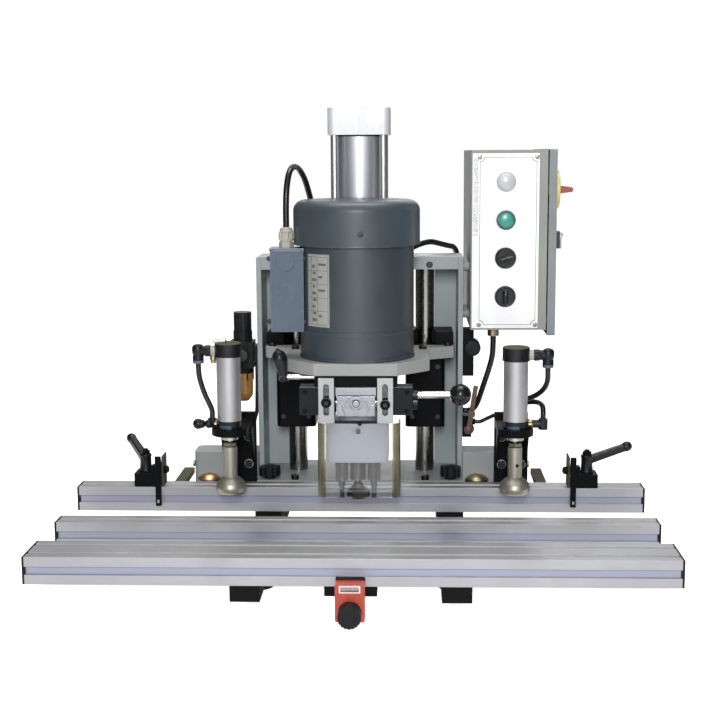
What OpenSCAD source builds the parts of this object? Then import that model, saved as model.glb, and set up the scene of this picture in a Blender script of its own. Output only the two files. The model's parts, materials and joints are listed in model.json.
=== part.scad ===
// Bench-top hinge boring machine: press head on two guide columns, three-spindle gearbox,
// extruded table rails, fence with flip stops, pneumatic hold-down clamps and a control box.
// Measures are in a working frame: X = 0 at the centre of the rails, Y = 0 at the front face
// of the front rail, Z = 0 on the table. place() moves it to the part's own origin.

/* [Table rails] */
// Length of the three rails
rail_len = 865; // [760:5:1000]
// Height and module width of the rail profile
rail_mod = 38; // [34:1:42]
// Free gap between the front rail and the middle rail
mid_gap = 90; // [70:1:110]
// Free gap between the middle rail and the fence
fence_gap = 99; // [94:1:110]
// Height of the fence above the table
fence_rise = 18; // [14:1:24]
// Width of a slot mouth
slot_mouth = 8; // [6:0.5:9]
// Width of a slot behind its lips
slot_inner = 17; // [14:0.5:19]
// Thickness of the slot lips
slot_lip = 3.5; // [2.5:0.5:5]
// Depth of a slot below the lips
slot_deep = 7; // [5:0.5:8]
// Width of the shallow groove in the front faces
face_groove_w = 11; // [8:0.5:14]
// Depth of the shallow groove
face_groove_d = 2.5; // [1:0.5:3]
// Thickness of the rail end caps
end_cap_t = 3; // [2:0.5:5]

/* [Base] */
// Width of a skid bar
skid_w = 40; // [34:1:48]
// Height of a skid bar
skid_h = 22; // [18:1:28]
// Distance of a skid bar from the centre
skid_x = 140; // [132:1:146]
// Height of a levelling foot
foot_h = 38; // [32:1:48]
// Radius of a foot pad
foot_r = 20; // [16:1:24]
// Radius of a bench screw hole in the skid bars
bench_hole_r = 4.5; // [3:0.5:6]
// Thickness of the base floor
floor_t = 39; // [32:1:44]
// Depth of the base floor
floor_d = 141; // [134:1:160]
// Width of a side box of the base
side_box_w = 101; // [94:1:108]
// Depth of a side box of the base
side_box_d = 50; // [46:1:90]
// Height of a side box above the table
side_box_z = 60; // [50:1:66]
// Radius of the dome nuts on the base
dome_r = 19; // [15:1:21]

/* [Frame] */
// Half of the outer width of the frame
frame_x = 161; // [157:1:166]
// Thickness of a cheek
cheek_t = 8; // [6:0.5:8]
// Depth of the frame
frame_d = 85; // [83:1:96]
// Height of the frame top above the table
frame_z = 365; // [360:1:376]
// Thickness of the top bar
top_bar_t = 19; // [14:1:24]
// Distance of a guide column from the centre
column_x = 102; // [98:1:104]
// Radius of a guide column
column_r = 15; // [12:0.5:16]
// Distance from the drill axis back to the columns
column_back = 144; // [143:1:150]

/* [Press cylinder] */
// Side of the square cylinder caps
cyl_cap = 96; // [90:1:96]
// Height of the lower cylinder cap
cyl_low_h = 30; // [24:1:36]
// Height of the upper cylinder cap
cyl_top_h = 41; // [30:1:50]
// Length of the cylinder barrel
barrel_len = 157; // [140:1:180]
// Outer radius of the barrel
barrel_r = 42; // [38:0.5:43]
// Wall of the barrel
barrel_wall = 3; // [2:0.5:4]
// Radius of the piston rod
piston_rod_r = 10; // [8:0.5:12]
// Radius of a tie rod
tie_rod_r = 6; // [4:0.5:6]

/* [Press head] */
// Height of the carriage plate above the table
plate_z = 209; // [206:1:212]
// Thickness of the carriage plate
plate_t = 18; // [14:1:22]
// Width of a bearing housing
housing_w = 62; // [52:1:64]
// Depth of a bearing housing
housing_d = 65; // [54:1:66]
// Height of a bearing housing
housing_h = 114; // [100:1:120]
// Radial running fit of the bores
fit = 0.05; // [0.02:0.01:0.08]
// Clearance between parts that pass each other
gap = 0.3; // [0.2:0.1:0.6]

/* [Motor] */
// Radius of the motor body
motor_r = 84; // [76:1:85]
// Height of the motor body
motor_h = 166; // [150:1:170]
// Radius of the fan cover
cover_r = 93; // [88:0.5:93.5]
// Height of the fan cover
cover_h = 64.5; // [56:0.5:72]
// Wall of the motor body
motor_wall = 8; // [6:0.5:10]
// Width of the nameplate on the motor
nameplate_w = 42; // [30:1:46]
// Wall of the fan cover
cover_wall = 2; // [1.5:0.5:3]
// Width of the terminal box
term_w = 49; // [44:1:52]
// Depth of the terminal box
term_d = 41; // [36:1:48]
// Height of the terminal box
term_h = 120; // [100:1:126]

/* [Boring] */
// Distance from the fence to the cup hole
cup_dist = 22; // [20:0.5:26]
// Diameter of the cup bit
cup_d = 35; // [26:1:35]
// Diameter of the dowel bits
dowel_d = 8; // [5:0.5:10]
// Half of the spacing between the dowel holes
dowel_x = 24; // [21:0.5:26]
// Distance from the cup axis forward to the dowel axes
dowel_fwd = 6; // [4:0.5:9.5]
// Width of the gearbox
gearbox_w = 92; // [86:1:100]
// Depth of the gearbox
gearbox_d = 72; // [64:1:74]
// Height of the gearbox
gearbox_h = 59; // [52:1:62]
// Lowest point of the bits above the table
bit_z = 9; // [8:0.5:14]

/* [Insertion unit and guard] */
// Half of the width of the insertion block
ins_x = 82; // [78:1:86]
// Height of the insertion block
ins_h = 41; // [38:1:44]
// Depth of the insertion block
ins_d = 32; // [28:1:36]
// Radius of the insertion shaft
ins_shaft_r = 6; // [4:0.5:7]
// Length of the handle rod
handle_len = 55; // [45:1:70]
// Radius of the handle ball
ball_r = 16; // [12:0.5:18]
// Half of the width of the clear guard
guard_x = 60.5; // [58:0.5:64]
// Distance the guard sits to the right of the centre
guard_off = 4; // [0:0.5:5]
// Thickness of the clear guard
guard_t = 3; // [2:0.5:4]
// Height of the guard's lower edge above the table
guard_z = 27; // [24:1:32]
// Width of a guard bracket
bracket_w = 23; // [20:0.5:26]
// Thickness of a guard bracket
bracket_t = 6; // [4:0.5:8]

/* [Clamps] */
// Place of the left clamp
clamp_left_x = -192; // [-200:1:-188]
// Place of the right clamp
clamp_right_x = 235; // [230:1:238]
// Distance from the fence forward to the clamp axes
clamp_fwd = 33; // [31:1:40]
// Radius of a clamp tube
clamp_r = 18; // [16:0.5:20]
// Height of a clamp tube
clamp_tube_h = 97; // [85:1:105]
// Height of the right clamp tube
clamp_right_h = 90.5; // [80:0.5:105]
// Radius of a clamp rod
clamp_rod_r = 4; // [3:0.5:5]
// Radius of a clamp foot
clamp_foot_r = 23; // [18:1:25]
// Height of a clamp foot above the table
clamp_foot_z = 18; // [14:1:20]
// Width of a clamp bracket
clamp_plate_w = 52; // [46:1:54]

/* [Stops] */
// Distance of the stop plates from the rail ends
stop_inset = 110.5; // [104:0.5:116]
// How much nearer the centre the left stop stands
stop_shift = 18; // [0:1:30]
// Width of a stop block
stop_block_w = 42; // [38:1:48]
// Height of a stop block
stop_block_h = 18; // [14:1:20]
// Width of a stop plate
stop_plate_w = 8.5; // [6:0.5:10]
// Length of a stop plate
stop_plate_len = 77; // [70:1:84]
// Length of a ratchet lever
ratchet_len = 70; // [50:1:75]
// How far a ratchet lever rises above level, in degrees
ratchet_rise = 20; // [10:1:30]
// How far the left ratchet lever stands turned back, in degrees
left_ratchet_turn = 58; // [0:1:60]

/* [Control box] */
// Width of the control box
box_w = 114; // [104:1:124]
// Depth of the control box
box_d = 280; // [260:1:290]
// Height of the control box
box_h = 270; // [250:1:290]
// Height of the control box above the table
box_z = 258; // [250:1:266]
// Wall of the control box
box_wall = 2; // [1.5:0.5:3]
// Thickness of the door
door_t = 12; // [8:1:16]
// Radius of the button and selector bezels
bezel_r = 15; // [12:0.5:16]
// Radius of the disconnect's disc
disc_r = 29; // [24:1:32]
// Length of the disconnect's grip
grip_len = 44; // [36:1:50]
// Radius of a hinge knuckle
knuckle_r = 3; // [2.5:0.1:3.2]
// Radius of a hinge pin
hinge_pin_r = 1.5; // [1:0.1:2]

/* [Air line] */
// Width of the regulator body
reg_w = 38; // [34:1:42]
// Depth of the regulator body
reg_d = 40; // [34:1:42]
// Height of the regulator body
reg_h = 42; // [36:1:46]
// Radius of the filter bowl
bowl_r = 15; // [12:0.5:16]
// Length of the filter bowl
bowl_h = 54; // [44:1:58]
// Height of the valve block on the right cheek
valve_h = 74; // [64:1:80]
// Radius of the valve's round top
valve_r = 13; // [10:0.5:14]
// Height of the hand valve block
hand_h = 34; // [30:1:40]
// Length of the hand valve's lever
hand_lever = 70; // [56:1:74]

/* [Indicator] */
// Width of the indicator
ind_w = 39; // [34:1:44]
// Height of the indicator
ind_h = 50; // [46:1:60]
// Depth of the indicator
ind_d = 24; // [18:1:30]
// Radius of the indicator knob
ind_knob_r = 15.5; // [12:0.5:17]
// Length of the indicator knob
ind_knob_l = 20; // [14:1:26]
// Depth of the indicator's top below the table
ind_drop = 28; // [24:1:30]

/* [Hidden] */
$fn = 64;

// Working heights
rail_bottom = -rail_mod;
fence_top = fence_rise;
fence_bottom = fence_top - rail_mod;
skid_top = rail_bottom;
skid_bottom = skid_top - skid_h;
table_z = foot_h + skid_h + rail_mod;
floor_top = fence_bottom + floor_t;

// Working depths
mid_y = 2 * rail_mod + mid_gap;
fence_y = mid_y + rail_mod + fence_gap;
fence_back = fence_y + rail_mod;
base_y = fence_back + 4;
base_back = base_y + floor_d;
head_y = fence_y - cup_dist;
column_y = head_y + column_back;
frame_y = column_y - 45;
frame_back = frame_y + frame_d;
frame_in = frame_x - cheek_t;
skid_len = base_back - 6;
box_y = head_y + 49;
box_x = frame_x + 9;
box_back = box_y + box_d;
ind_y = -1;
ind_front = ind_y - ind_d - ind_knob_l;
origin_y = (ind_front + box_back) / 2;
ind_top = -ind_drop;
ind_axis_z = ind_top - ind_h + 13;
star_x = 142;
star_y = base_y + 14;
arm_x = 282;
arm_w = 17;
arm_len = 94;
flange_x = 118;
plug_x = 108.5;
plug_z = frame_z - top_bar_t + 7;
foot_y = 180;

// Press head heights
plate_top = plate_z + plate_t;
motor_top = plate_top + motor_h;
cover_top = motor_top + cover_h;
head_block_z = plate_z - 19;
ins_z = head_block_z - ins_h;
ins_y = head_y - 68;
ins_back = ins_y + ins_d;
ins_axis_y = ins_y + 19;
ins_axis_z = ins_z + 16;
gearbox_z = 71;
gearbox_top = gearbox_z + gearbox_h;
gearbox_y = head_y - 36;
dowel_y = head_y - dowel_fwd;
gear_r = norm([dowel_x, dowel_fwd]) / 2 - gap / 2;
guard_y = ins_y - guard_t;
bracket_in = 31;

// Press cylinder heights
cyl_low_top = frame_z + cyl_low_h;
barrel_top = cyl_low_top + barrel_len;
cyl_top = barrel_top + cyl_top_h;
tie_x = cyl_cap / 2 - 10.5;

// Clamp heights
clamp_y = fence_y - clamp_fwd;
clamp_z = 130;
clamp_top = clamp_z + clamp_tube_h;
right_clamp_top = clamp_z + clamp_right_h;
clamp_plate_y = base_y;
sleeve_z = clamp_foot_z + 26;
sleeve_top = sleeve_z + 46;

// Stop places
stop_x = rail_len / 2 - stop_inset;
stop_y = fence_y + rail_mod / 2;
stop_z = fence_top + gap;
stop_top = stop_z + stop_block_h;
pivot_y = fence_y + 7;
pivot_z = fence_top + 26.5;
ratchet_x = 27;
hub_z = stop_top + 3;

// Control box places
panel_x = 222;
door_x = box_x + box_w + 2;
disc_y = box_y + 55;
disc_z = box_z + 210;
// Heights of the lower selector, the upper selector, the start button and the lamp
panel_z = [for (up = [51, 109, 166, 223]) box_z + up];
hinge_x = door_x + door_t + knuckle_r + 0.5;
hinge_y = box_back - knuckle_r - 0.5;
hinge_zs = [box_z + 50, box_z + box_h - 50];
door_back = box_back - 6;

// Air line places
reg_x = -frame_x - 25;
reg_y = column_y - 25;
reg_z = 190;
bowl_z = reg_z - bowl_h;
valve_z = 178;
hand_z = 82;
hand_x = frame_x + 9;
hand_axis_z = hand_z + 14;

// Routes of the cords, in the working frame
motor_route = [[-102, 261, 417], [-102, 262, 445], [-101, 265, 473], [-98, 276, 496],
    [-93, 295, 505], [-87, 319, 501], [-80, 340, 485], [-74, 355, 460], [-68, 365, 432],
    [-61, 370, 405], [-50, 372, 380], [-36, 372, 360], [-15, 372, 350], [8, 372, 348],
    [32, 371, 354], [54, 372, 364], [74, 375, 376], [92, 386, 384], [110, 405, 387],
    [127, 432, 382], [141, 456, 377], [147, 468, 375], [152, 477, 369], [155, 483, 360],
    [158, 486, 351], [164, 487, 345], [169.7, 487, 345]];
control_route = [[209, 400, 240], [209, 400, 226], [208, 401, 208], [204, 402, 190],
    [198, 404, 170], [192, 408, 150], [187, 414, 133], [181, 421, 120], [171, 425, 115],
    [161, 425, 115]];
left_loop = [[-237, 270, 219], [-237, 270, 210], [-236, 270, 196], [-232, 270, 180],
    [-227, 270, 166], [-222, 270, 155], [-218, 270, 144], [-218, 270, 133]];
right_loop = [[282, 270, 212.5], [282, 270, 204], [282, 273, 190], [278, 280, 177],
    [269, 290, 166], [256, 298, 158], [242, 303, 152], [231, 310, 148], [230, 320, 146],
    [238, 327, 145], [250, 326, 146], [261, 319, 149], [269, 307, 151], [274, 294, 151],
    [276, 280, 149], [276, 270, 143], [276, 270, 133]];
regulator_hose = [[-164.5, 400, 200], [-164.5, 400, 180], [-164.5, 399, 160],
    [-165, 398, 140], [-166, 398, 118], [-171, 400, 98], [-174, 400, 80], [-174, 400, 60]];
valve_hose = [[181, 385, 105], [189, 385, 105], [203, 383, 112], [215, 378, 118],
    [225, 368, 118], [225, 355, 118]];

// Moves the working frame to the part's origin
module place() {
    translate([0, -origin_y, table_z]) children();
}

// Box between two limits on each axis
module span(x, y, z) {
    translate([x[0], y[0], z[0]]) cube([x[1] - x[0], y[1] - y[0], z[1] - z[0]]);
}

// Box with round vertical corners
module round_span(x, y, z, r) {
    translate([0, 0, z[0]])
        linear_extrude(z[1] - z[0])
            round_rect(x, y, r);
}

// Flat outline with round corners, built from circles and bars
module round_rect(x, y, r) {
    translate([x[0] + r, y[0]]) square([x[1] - x[0] - 2 * r, y[1] - y[0]]);
    translate([x[0], y[0] + r]) square([x[1] - x[0], y[1] - y[0] - 2 * r]);
    for (px = [x[0] + r, x[1] - r], py = [y[0] + r, y[1] - r])
        translate([px, py]) circle(r);
}

module rod_x(x, y, z, r) {
    translate([x[0], y, z]) rotate([0, 90, 0]) cylinder(h = x[1] - x[0], r = r);
}

module rod_y(x, y, z, r) {
    translate([x, y[0], z]) rotate([-90, 0, 0]) cylinder(h = y[1] - y[0], r = r);
}

module rod_z(x, y, z, r) {
    translate([x, y, z[0]]) cylinder(h = z[1] - z[0], r = r);
}

// Socket head screw standing along Z with its head on top
module cap_screw(x, y, z, r) {
    translate([x, y, z]) difference() {
        cylinder(h = r * 1.2, r = r);
        translate([0, 0, r * 0.5]) cylinder(h = r, r = r * 0.5, $fn = 6);
    }
}

// Hexagon nut along X
module hex_x(x, y, z, r) {
    translate([x[0], y, z]) rotate([0, 90, 0]) cylinder(h = x[1] - x[0], r = r, $fn = 6);
}

// Round tube swept along a list of points
function unit(v) = v / norm(v);
function heading(p, i) =
    i == 0 ? unit(p[1] - p[0]) :
    i == len(p) - 1 ? unit(p[i] - p[i - 1]) : unit(p[i + 1] - p[i - 1]);
function across(d) = abs(d[1]) > 0.9 ? unit(cross(d, [1, 0, 0])) : unit(cross(d, [0, 1, 0]));
function sweep_ring(c, d, r, n) = [for (k = [0:n - 1])
    c + r * (cos(360 * k / n) * across(d) + sin(360 * k / n) * cross(d, across(d)))];

module swept_cord(p, r, n) {
    rings = [for (i = [0:len(p) - 1]) each sweep_ring(p[i], heading(p, i), r, n)];
    last = (len(p) - 1) * n;
    walls = [for (i = [0:len(p) - 2], k = [0:n - 1])
        let (a = i * n + k, b = i * n + (k + 1) % n)
        each [[a, a + n, b + n], [a, b + n, b]]];
    first_cap = [for (k = [1:n - 2]) [0, k, k + 1]];
    last_cap = [for (k = [1:n - 2]) [last, last + k + 1, last + k]];
    polyhedron(rings, concat(walls, first_cap, last_cap));
}

// Undercut slot, mouth at the origin, opening towards +Y
module slot_outline() {
    translate([-slot_mouth / 2, -slot_lip - 1]) square([slot_mouth, slot_lip + 2]);
    translate([-slot_inner / 2, -slot_lip - slot_deep / 2])
        square([slot_inner, slot_deep / 2]);
    translate([-slot_mouth / 2, -slot_lip - slot_deep]) square([slot_mouth, slot_deep]);
}

// Cross-section of a rail in Y and Z, front at Y = 0 and top at Z = 0
module rail_outline(modules) {
    difference() {
        translate([0, -rail_mod]) square([modules * rail_mod, rail_mod]);
        for (i = [0:modules - 1]) translate([(i + 0.5) * rail_mod, 0]) {
            slot_outline();
            translate([0, -rail_mod]) mirror([0, 1]) slot_outline();
            translate([0, -rail_mod / 2]) circle(3.4);
        }
        translate([-1, -(rail_mod + face_groove_w) / 2])
            square([1 + face_groove_d, face_groove_w]);
        translate([modules * rail_mod, -rail_mod / 2]) rotate(-90) slot_outline();
    }
}

module rail(modules, y, top) {
    translate([-rail_len / 2, y, top]) rotate([90, 0, 90])
        linear_extrude(rail_len) rail_outline(modules);
}

module levelling_feet() {
    color("dimgray") place()
    for (x = [-skid_x, skid_x], y = [foot_y, column_y + 18]) {
        rod_z(x, y, [skid_bottom - foot_h, skid_bottom - foot_h + 12], foot_r);
        rod_z(x, y, [skid_bottom - foot_h + 12, skid_bottom - foot_h + 18], foot_r * 0.55);
        rod_z(x, y, [skid_bottom - foot_h + 18, skid_bottom - 8], 5);
        translate([x, y, skid_bottom - 8]) cylinder(h = 8, r = 9.5, $fn = 6);
    }
}

module skid_bars() {
    color("black") place()
    for (s = [-1, 1]) difference() {
        union() {
            span([s * skid_x - skid_w / 2, s * skid_x + skid_w / 2], [0, skid_len],
                [skid_bottom, skid_top]);
            span([s * skid_x - skid_w / 2, s * skid_x + skid_w / 2], [fence_y, skid_len],
                [skid_top, fence_bottom]);
        }
        for (y = [120, 250])
            rod_z(s * skid_x, y, [skid_bottom - 1, skid_top + 1], bench_hole_r);
    }
}

module table_rails() {
    color("lightsteelblue") place() {
        rail(2, 0, 0);
        rail(1, mid_y, 0);
    }
}

module fence_rail() {
    color("lightsteelblue") place() rail(1, fence_y, fence_top);
}

module end_cap(y, wide, top, s) {
    x = s > 0 ? [rail_len / 2, rail_len / 2 + end_cap_t] :
        [-rail_len / 2 - end_cap_t, -rail_len / 2];
    span(x, [y, y + wide], [top - rail_mod, top]);
}

module rail_end_caps() {
    color("black") place()
    for (s = [-1, 1]) {
        end_cap(0, 2 * rail_mod, 0, s);
        end_cap(mid_y, rail_mod, 0, s);
        end_cap(fence_y, rail_mod, fence_top, s);
    }
}

module fence_arms() {
    color("gray") place()
    for (s = [-1, 1]) {
        x = [s * arm_x - arm_w / 2, s * arm_x + arm_w / 2];
        span(x, [fence_back, fence_back + arm_len], [fence_top - 10, fence_top]);
        span(x, [fence_back, fence_back + 8], [fence_bottom + 4, fence_top - 10]);
    }
}

module indicator_bracket() {
    color("black") place() {
        span([-35, 35], [3, 33], [rail_bottom - 14.5, rail_bottom]);
        difference() {
            span([-13, 13], [3, 17], [ind_axis_z - 11, rail_bottom - 14.5]);
            rod_y(0, [2, 18], ind_axis_z, 5 + fit);
        }
    }
}

module indicator_body() {
    color("orangered") place() difference() {
        union() {
            translate([0, ind_y, 0]) rotate([90, 0, 0]) linear_extrude(ind_d)
                round_rect([-ind_w / 2, ind_w / 2], [ind_top - ind_h, ind_top], 3);
            span([-9, 9], [ind_y, 3], [ind_axis_z + 9, ind_axis_z + 20]);
        }
        rod_y(0, [ind_y - ind_d - 1, 3], ind_axis_z, 5 + fit);
        span([-13, 13], [ind_y - ind_d - 1, ind_y - ind_d + 3],
            [ind_top - 9.5, ind_top - 1.5]);
    }
}

module indicator_knob() {
    color("black") place() {
        rod_y(0, [ind_front + 1, 40], ind_axis_z, 5);
        difference() {
            rod_y(0, [ind_front, ind_y - ind_d - gap], ind_axis_z, ind_knob_r);
            for (a = [0:20:340])
                translate([0, 0, ind_axis_z]) rotate([0, a, 0])
                    rod_y(ind_knob_r + 0.8, [ind_front - 1, ind_y - ind_d - 4], 0, 1.6);
        }
    }
}

module side_box(s) {
    x = s > 0 ? [frame_x, frame_x + side_box_w] : [-frame_x - side_box_w, -frame_x];
    round_span(x, [base_y + 17, base_y + 17 + side_box_d], [fence_bottom, side_box_z], 9);
    span(s > 0 ? [x[0], x[0] + 18] : [x[1] - 18, x[1]],
        [base_y + 17, base_y + 17 + side_box_d], [fence_bottom, side_box_z]);
    round_span(x, [base_y, base_y + 40], [fence_bottom, 8], 6);
}

module base_casting() {
    color("gray") place() {
        difference() {
            union() {
                span([-frame_x, frame_x], [base_y, base_back], [fence_bottom, floor_top]);
                side_box(-1);
                side_box(1);
            }
            for (s = [-1, 1]) {
                rod_z(s * column_x, column_y, [floor_top - 14, floor_top + 1], column_r);
                rod_z(s * star_x, star_y, [floor_top - 20, floor_top + 1], 5 + fit);
            }
        }
        for (x = [-238, 183]) dome_nut(x, base_y + dome_r + 1, 8);
        for (s = [-1, 1]) cap_screw(s * column_x, base_y + 7, floor_top, 6);
        for (s = [-1, 1]) cap_screw(s * skid_x, frame_back + 8, floor_top, 6);
    }
}

// Domed nut
module dome_nut(x, y, z) {
    translate([x, y, z]) rotate_extrude() intersection() {
        square([dome_r, 19]);
        translate([0, 19 - dome_r * 1.3]) circle(dome_r * 1.3, $fn = 96);
    }
}

module frame_cheeks() {
    color("darkseagreen") place()
    for (s = [-1, 1]) {
        x = s > 0 ? [frame_in, frame_x] : [-frame_x, -frame_in];
        span(x, [frame_y, frame_back], [floor_top, frame_z]);
        span(s > 0 ? [flange_x, frame_in] : [-frame_in, -flange_x], [frame_back - 6, frame_back],
            [floor_top, frame_z - top_bar_t]);
    }
}

module top_bar() {
    color("darkseagreen") place() {
        difference() {
            span([-frame_in, frame_in], [frame_y, frame_back], [frame_z - top_bar_t, frame_z]);
            for (s = [-1, 1])
                rod_z(s * column_x, column_y, [frame_z - top_bar_t - 1, frame_z + 1], column_r);
            rod_z(0, column_y, [frame_z - top_bar_t - 1, frame_z + 1], piston_rod_r + 2);
            for (s = [-1, 1])
                rod_y(s * plug_x, [frame_y - 1, frame_y + 9], plug_z, 5);
        }
        for (s = [-1, 1])
            rod_y(s * plug_x, [frame_y + 3, frame_y + 9], plug_z, 4.5);
    }
}

module guide_columns() {
    color("silver") place()
    for (s = [-1, 1])
        rod_z(s * column_x, column_y, [floor_top - 14, frame_z], column_r);
}

module cylinder_cap(z) {
    difference() {
        round_span([-cyl_cap / 2, cyl_cap / 2],
            [column_y - cyl_cap / 2, column_y + cyl_cap / 2], z, 10);
        children();
    }
}

module cylinder_caps() {
    color("silver") place() {
        cylinder_cap([frame_z, cyl_low_top]) {
            rod_z(0, column_y, [frame_z - 1, cyl_low_top + 1], piston_rod_r + fit);
            for (x = [-tie_x, tie_x], y = [-tie_x, tie_x])
                rod_z(x, column_y + y, [cyl_low_top - 12, cyl_low_top + 1], tie_rod_r);
        }
        cylinder_cap([barrel_top, cyl_top]) {
            for (x = [-tie_x, tie_x], y = [-tie_x, tie_x])
                rod_z(x, column_y + y, [barrel_top - 1, barrel_top + 12], tie_rod_r);
            rod_z(0, column_y, [barrel_top - 1, barrel_top + 8], 14);
        }
        for (x = [-tie_x, tie_x], y = [-tie_x, tie_x])
            rod_z(x, column_y + y, [cyl_low_top - 12, barrel_top + 12], tie_rod_r);
    }
}

module cylinder_barrel() {
    color("gainsboro") place() difference() {
        rod_z(0, column_y, [cyl_low_top, barrel_top], barrel_r);
        rod_z(0, column_y, [cyl_low_top - 1, barrel_top + 1], barrel_r - barrel_wall);
    }
}

module piston_rod() {
    color("silver") place() {
        rod_z(0, column_y, [plate_top, cyl_low_top + 40], piston_rod_r);
        rod_z(0, column_y, [cyl_low_top + 20, cyl_low_top + 36], barrel_r - barrel_wall - fit);
        rod_z(0, column_y, [plate_top, plate_top + 12], 19);
    }
}

// Outline of the carriage plate, right half from front to back
function plate_half() = [[60, head_y - 84], [98, head_y - 46], [107, head_y - 36],
    [107, head_y + 67], [146, head_y + 90], [frame_in - 5, head_y + 97],
    [frame_in - 5, frame_back - 10]];

module carriage_plate() {
    right = plate_half();
    left = [for (i = [len(right) - 1:-1:0]) [-right[i][0], right[i][1]]];
    color("tan") place() difference() {
        translate([0, 0, plate_z]) linear_extrude(plate_t) polygon(concat(right, left));
        for (s = [-1, 1])
            rod_z(s * column_x, column_y, [plate_z - 1, plate_top + 1], column_r + 3);
        rod_z(0, head_y, [plate_z - 1, plate_top + 1], 20);
    }
}

module bearing_housings() {
    color("black") place()
    for (s = [-1, 1]) difference() {
        union() {
            round_span([s * column_x - housing_w / 2, s * column_x + housing_w / 2],
                [column_y - 35, column_y - 35 + housing_d],
                [plate_z - housing_h, plate_z], 8);
            span([s * column_x - (s > 0 ? 26 : 44), s * column_x + (s > 0 ? 44 : 26)],
                [column_y - 40, column_y + 30], [plate_top, plate_top + 20]);
        }
        rod_z(s * column_x, column_y, [plate_z - housing_h - 1, plate_top + 21],
            column_r + fit);
    }
}

module motor_body() {
    color("slategray") place() {
        difference() {
            union() {
                rod_z(0, head_y, [plate_top, motor_top], motor_r);
                rod_z(0, head_y, [plate_top + 39, plate_top + 43], motor_r + 1.5);
            }
            rod_z(0, head_y, [plate_top + 12, motor_top - 12], motor_r - motor_wall);
            rod_z(0, head_y, [plate_top - 1, motor_top + 1], 10 + fit);
        }
        intersection() {
            rod_z(0, head_y, [plate_top + 50, plate_top + 156], motor_r + 0.8);
            translate([0, head_y, 0]) rotate([0, 0, -39.5])
                span([-nameplate_w / 2, nameplate_w / 2], [-motor_r - 5, -motor_r + 5],
                    [plate_top + 49, plate_top + 157]);
        }
    }
}

module fan_cover() {
    color("slategray") place() translate([0, head_y, 0]) difference() {
        rotate_extrude($fn = 96) difference() {
            union() {
                translate([0, motor_top]) square([cover_r, cover_h - 16]);
                translate([0, cover_top - 17]) square([cover_r - 16, 17]);
                translate([cover_r - 16, cover_top - 16]) circle(16);
            }
            translate([0, motor_top - 1])
                square([cover_r - cover_wall, cover_h - 16 + 1]);
            translate([0, motor_top]) square([cover_r - 18, cover_h - cover_wall]);
            translate([-40, motor_top - 1]) square([40, cover_h + 2]);
        }
        for (r = [30, 44, 58], a = [0:24:336])
            rotate([0, 0, a]) span([r - 3, r + 3], [-3, 3], [cover_top - 5, cover_top + 1]);
    }
}

module motor_rotor() {
    color("darkgray") place() {
        rod_z(0, head_y, [plate_top + 30, motor_top - 26], motor_r - motor_wall - 14);
        rod_z(0, head_y, [gearbox_top + 40, motor_top + 34], 10);
        difference() {
            rod_z(0, head_y, [motor_top + 12, motor_top + 34], cover_r - 22);
            for (a = [0:45:315]) translate([0, head_y, 0]) rotate([0, 0, a])
                span([22, cover_r], [3, 3 + 0.36 * (cover_r - 22)],
                    [motor_top + 16, motor_top + 35]);
        }
    }
}

// Terminal box on the motor's left side, with its cable gland on top
module terminal_box() {
    x0 = -motor_r - 40.5;
    gland_x = x0 + 22.5;
    knock_z = plate_top + term_h + 22;
    color("slategray") place() {
        difference() {
            union() {
                round_span([x0, x0 + term_w], [head_y - 41, head_y - 41 + term_d],
                    [plate_top + 40, plate_top + 40 + term_h - 2], 2);
                span([x0 + 4, -motor_r + 4], [head_y - 20, head_y + 14],
                    [plate_top + 48, plate_top + 152]);
                round_span([x0 - 1, x0 + term_w + 1], [head_y - 42, head_y - 42 + term_d + 2],
                    [plate_top + 40 + term_h - 2, plate_top + 40 + term_h + 2], 2);
            }
            rod_z(0, head_y, [plate_top, cover_top], motor_r);
            rod_z(0, head_y, [plate_top + 38, plate_top + 44], motor_r + 2);
            rod_y(gland_x, [head_y - 43, head_y - 40], knock_z, 14);
            rod_z(gland_x, head_y - 20, [plate_top + 54, plate_top + 40 + term_h + 3], 7);
        }
        rod_y(gland_x, [head_y - 42, head_y - 40], knock_z, 12.5);
        gland(gland_x, head_y - 20, plate_top + 40 + term_h + 2);
    }
}

// Cable gland: hexagon, thread and tapered nut
module gland(x, y, z) {
    difference() {
        union() {
            translate([x, y, z]) cylinder(h = 8, r = 11, $fn = 6);
            rod_z(x, y, [z + 8, z + 28], 9);
            translate([x, y, z + 10]) cylinder(h = 11, r = 10.5, $fn = 12);
            rod_z(x, y, [z - 8, z], 6.5);
        }
        rod_z(x, y, [z + 20, z + 29], 4.5);
    }
}

module gearbox_case() {
    color("lightgray") place() {
        difference() {
            union() {
                span([-gearbox_w / 2, gearbox_w / 2], [gearbox_y, gearbox_y + gearbox_d],
                    [gearbox_z, gearbox_top]);
                rod_z(0, head_y, [gearbox_top, plate_z], 29);
                span([-60, 60], [ins_y + 2, head_y + 36], [head_block_z, plate_z]);
            }
            span([-gearbox_w / 2 + 6, gearbox_w / 2 - 6],
                [gearbox_y + 6, gearbox_y + gearbox_d - 6], [gearbox_z + 10, gearbox_top - 10]);
            rod_z(0, head_y, [gearbox_z - 1, gearbox_top + 40], 10 + fit);
            rod_z(0, head_y, [gearbox_top + 38, plate_z + 1], 16);
            for (s = [-1, 1])
                rod_z(s * dowel_x, dowel_y, [gearbox_z - 1, gearbox_top - 4], 6 + fit);
        }
        rod_y(0, [gearbox_y - 3, gearbox_y], gearbox_z + 48, 3.5);
    }
}

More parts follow.
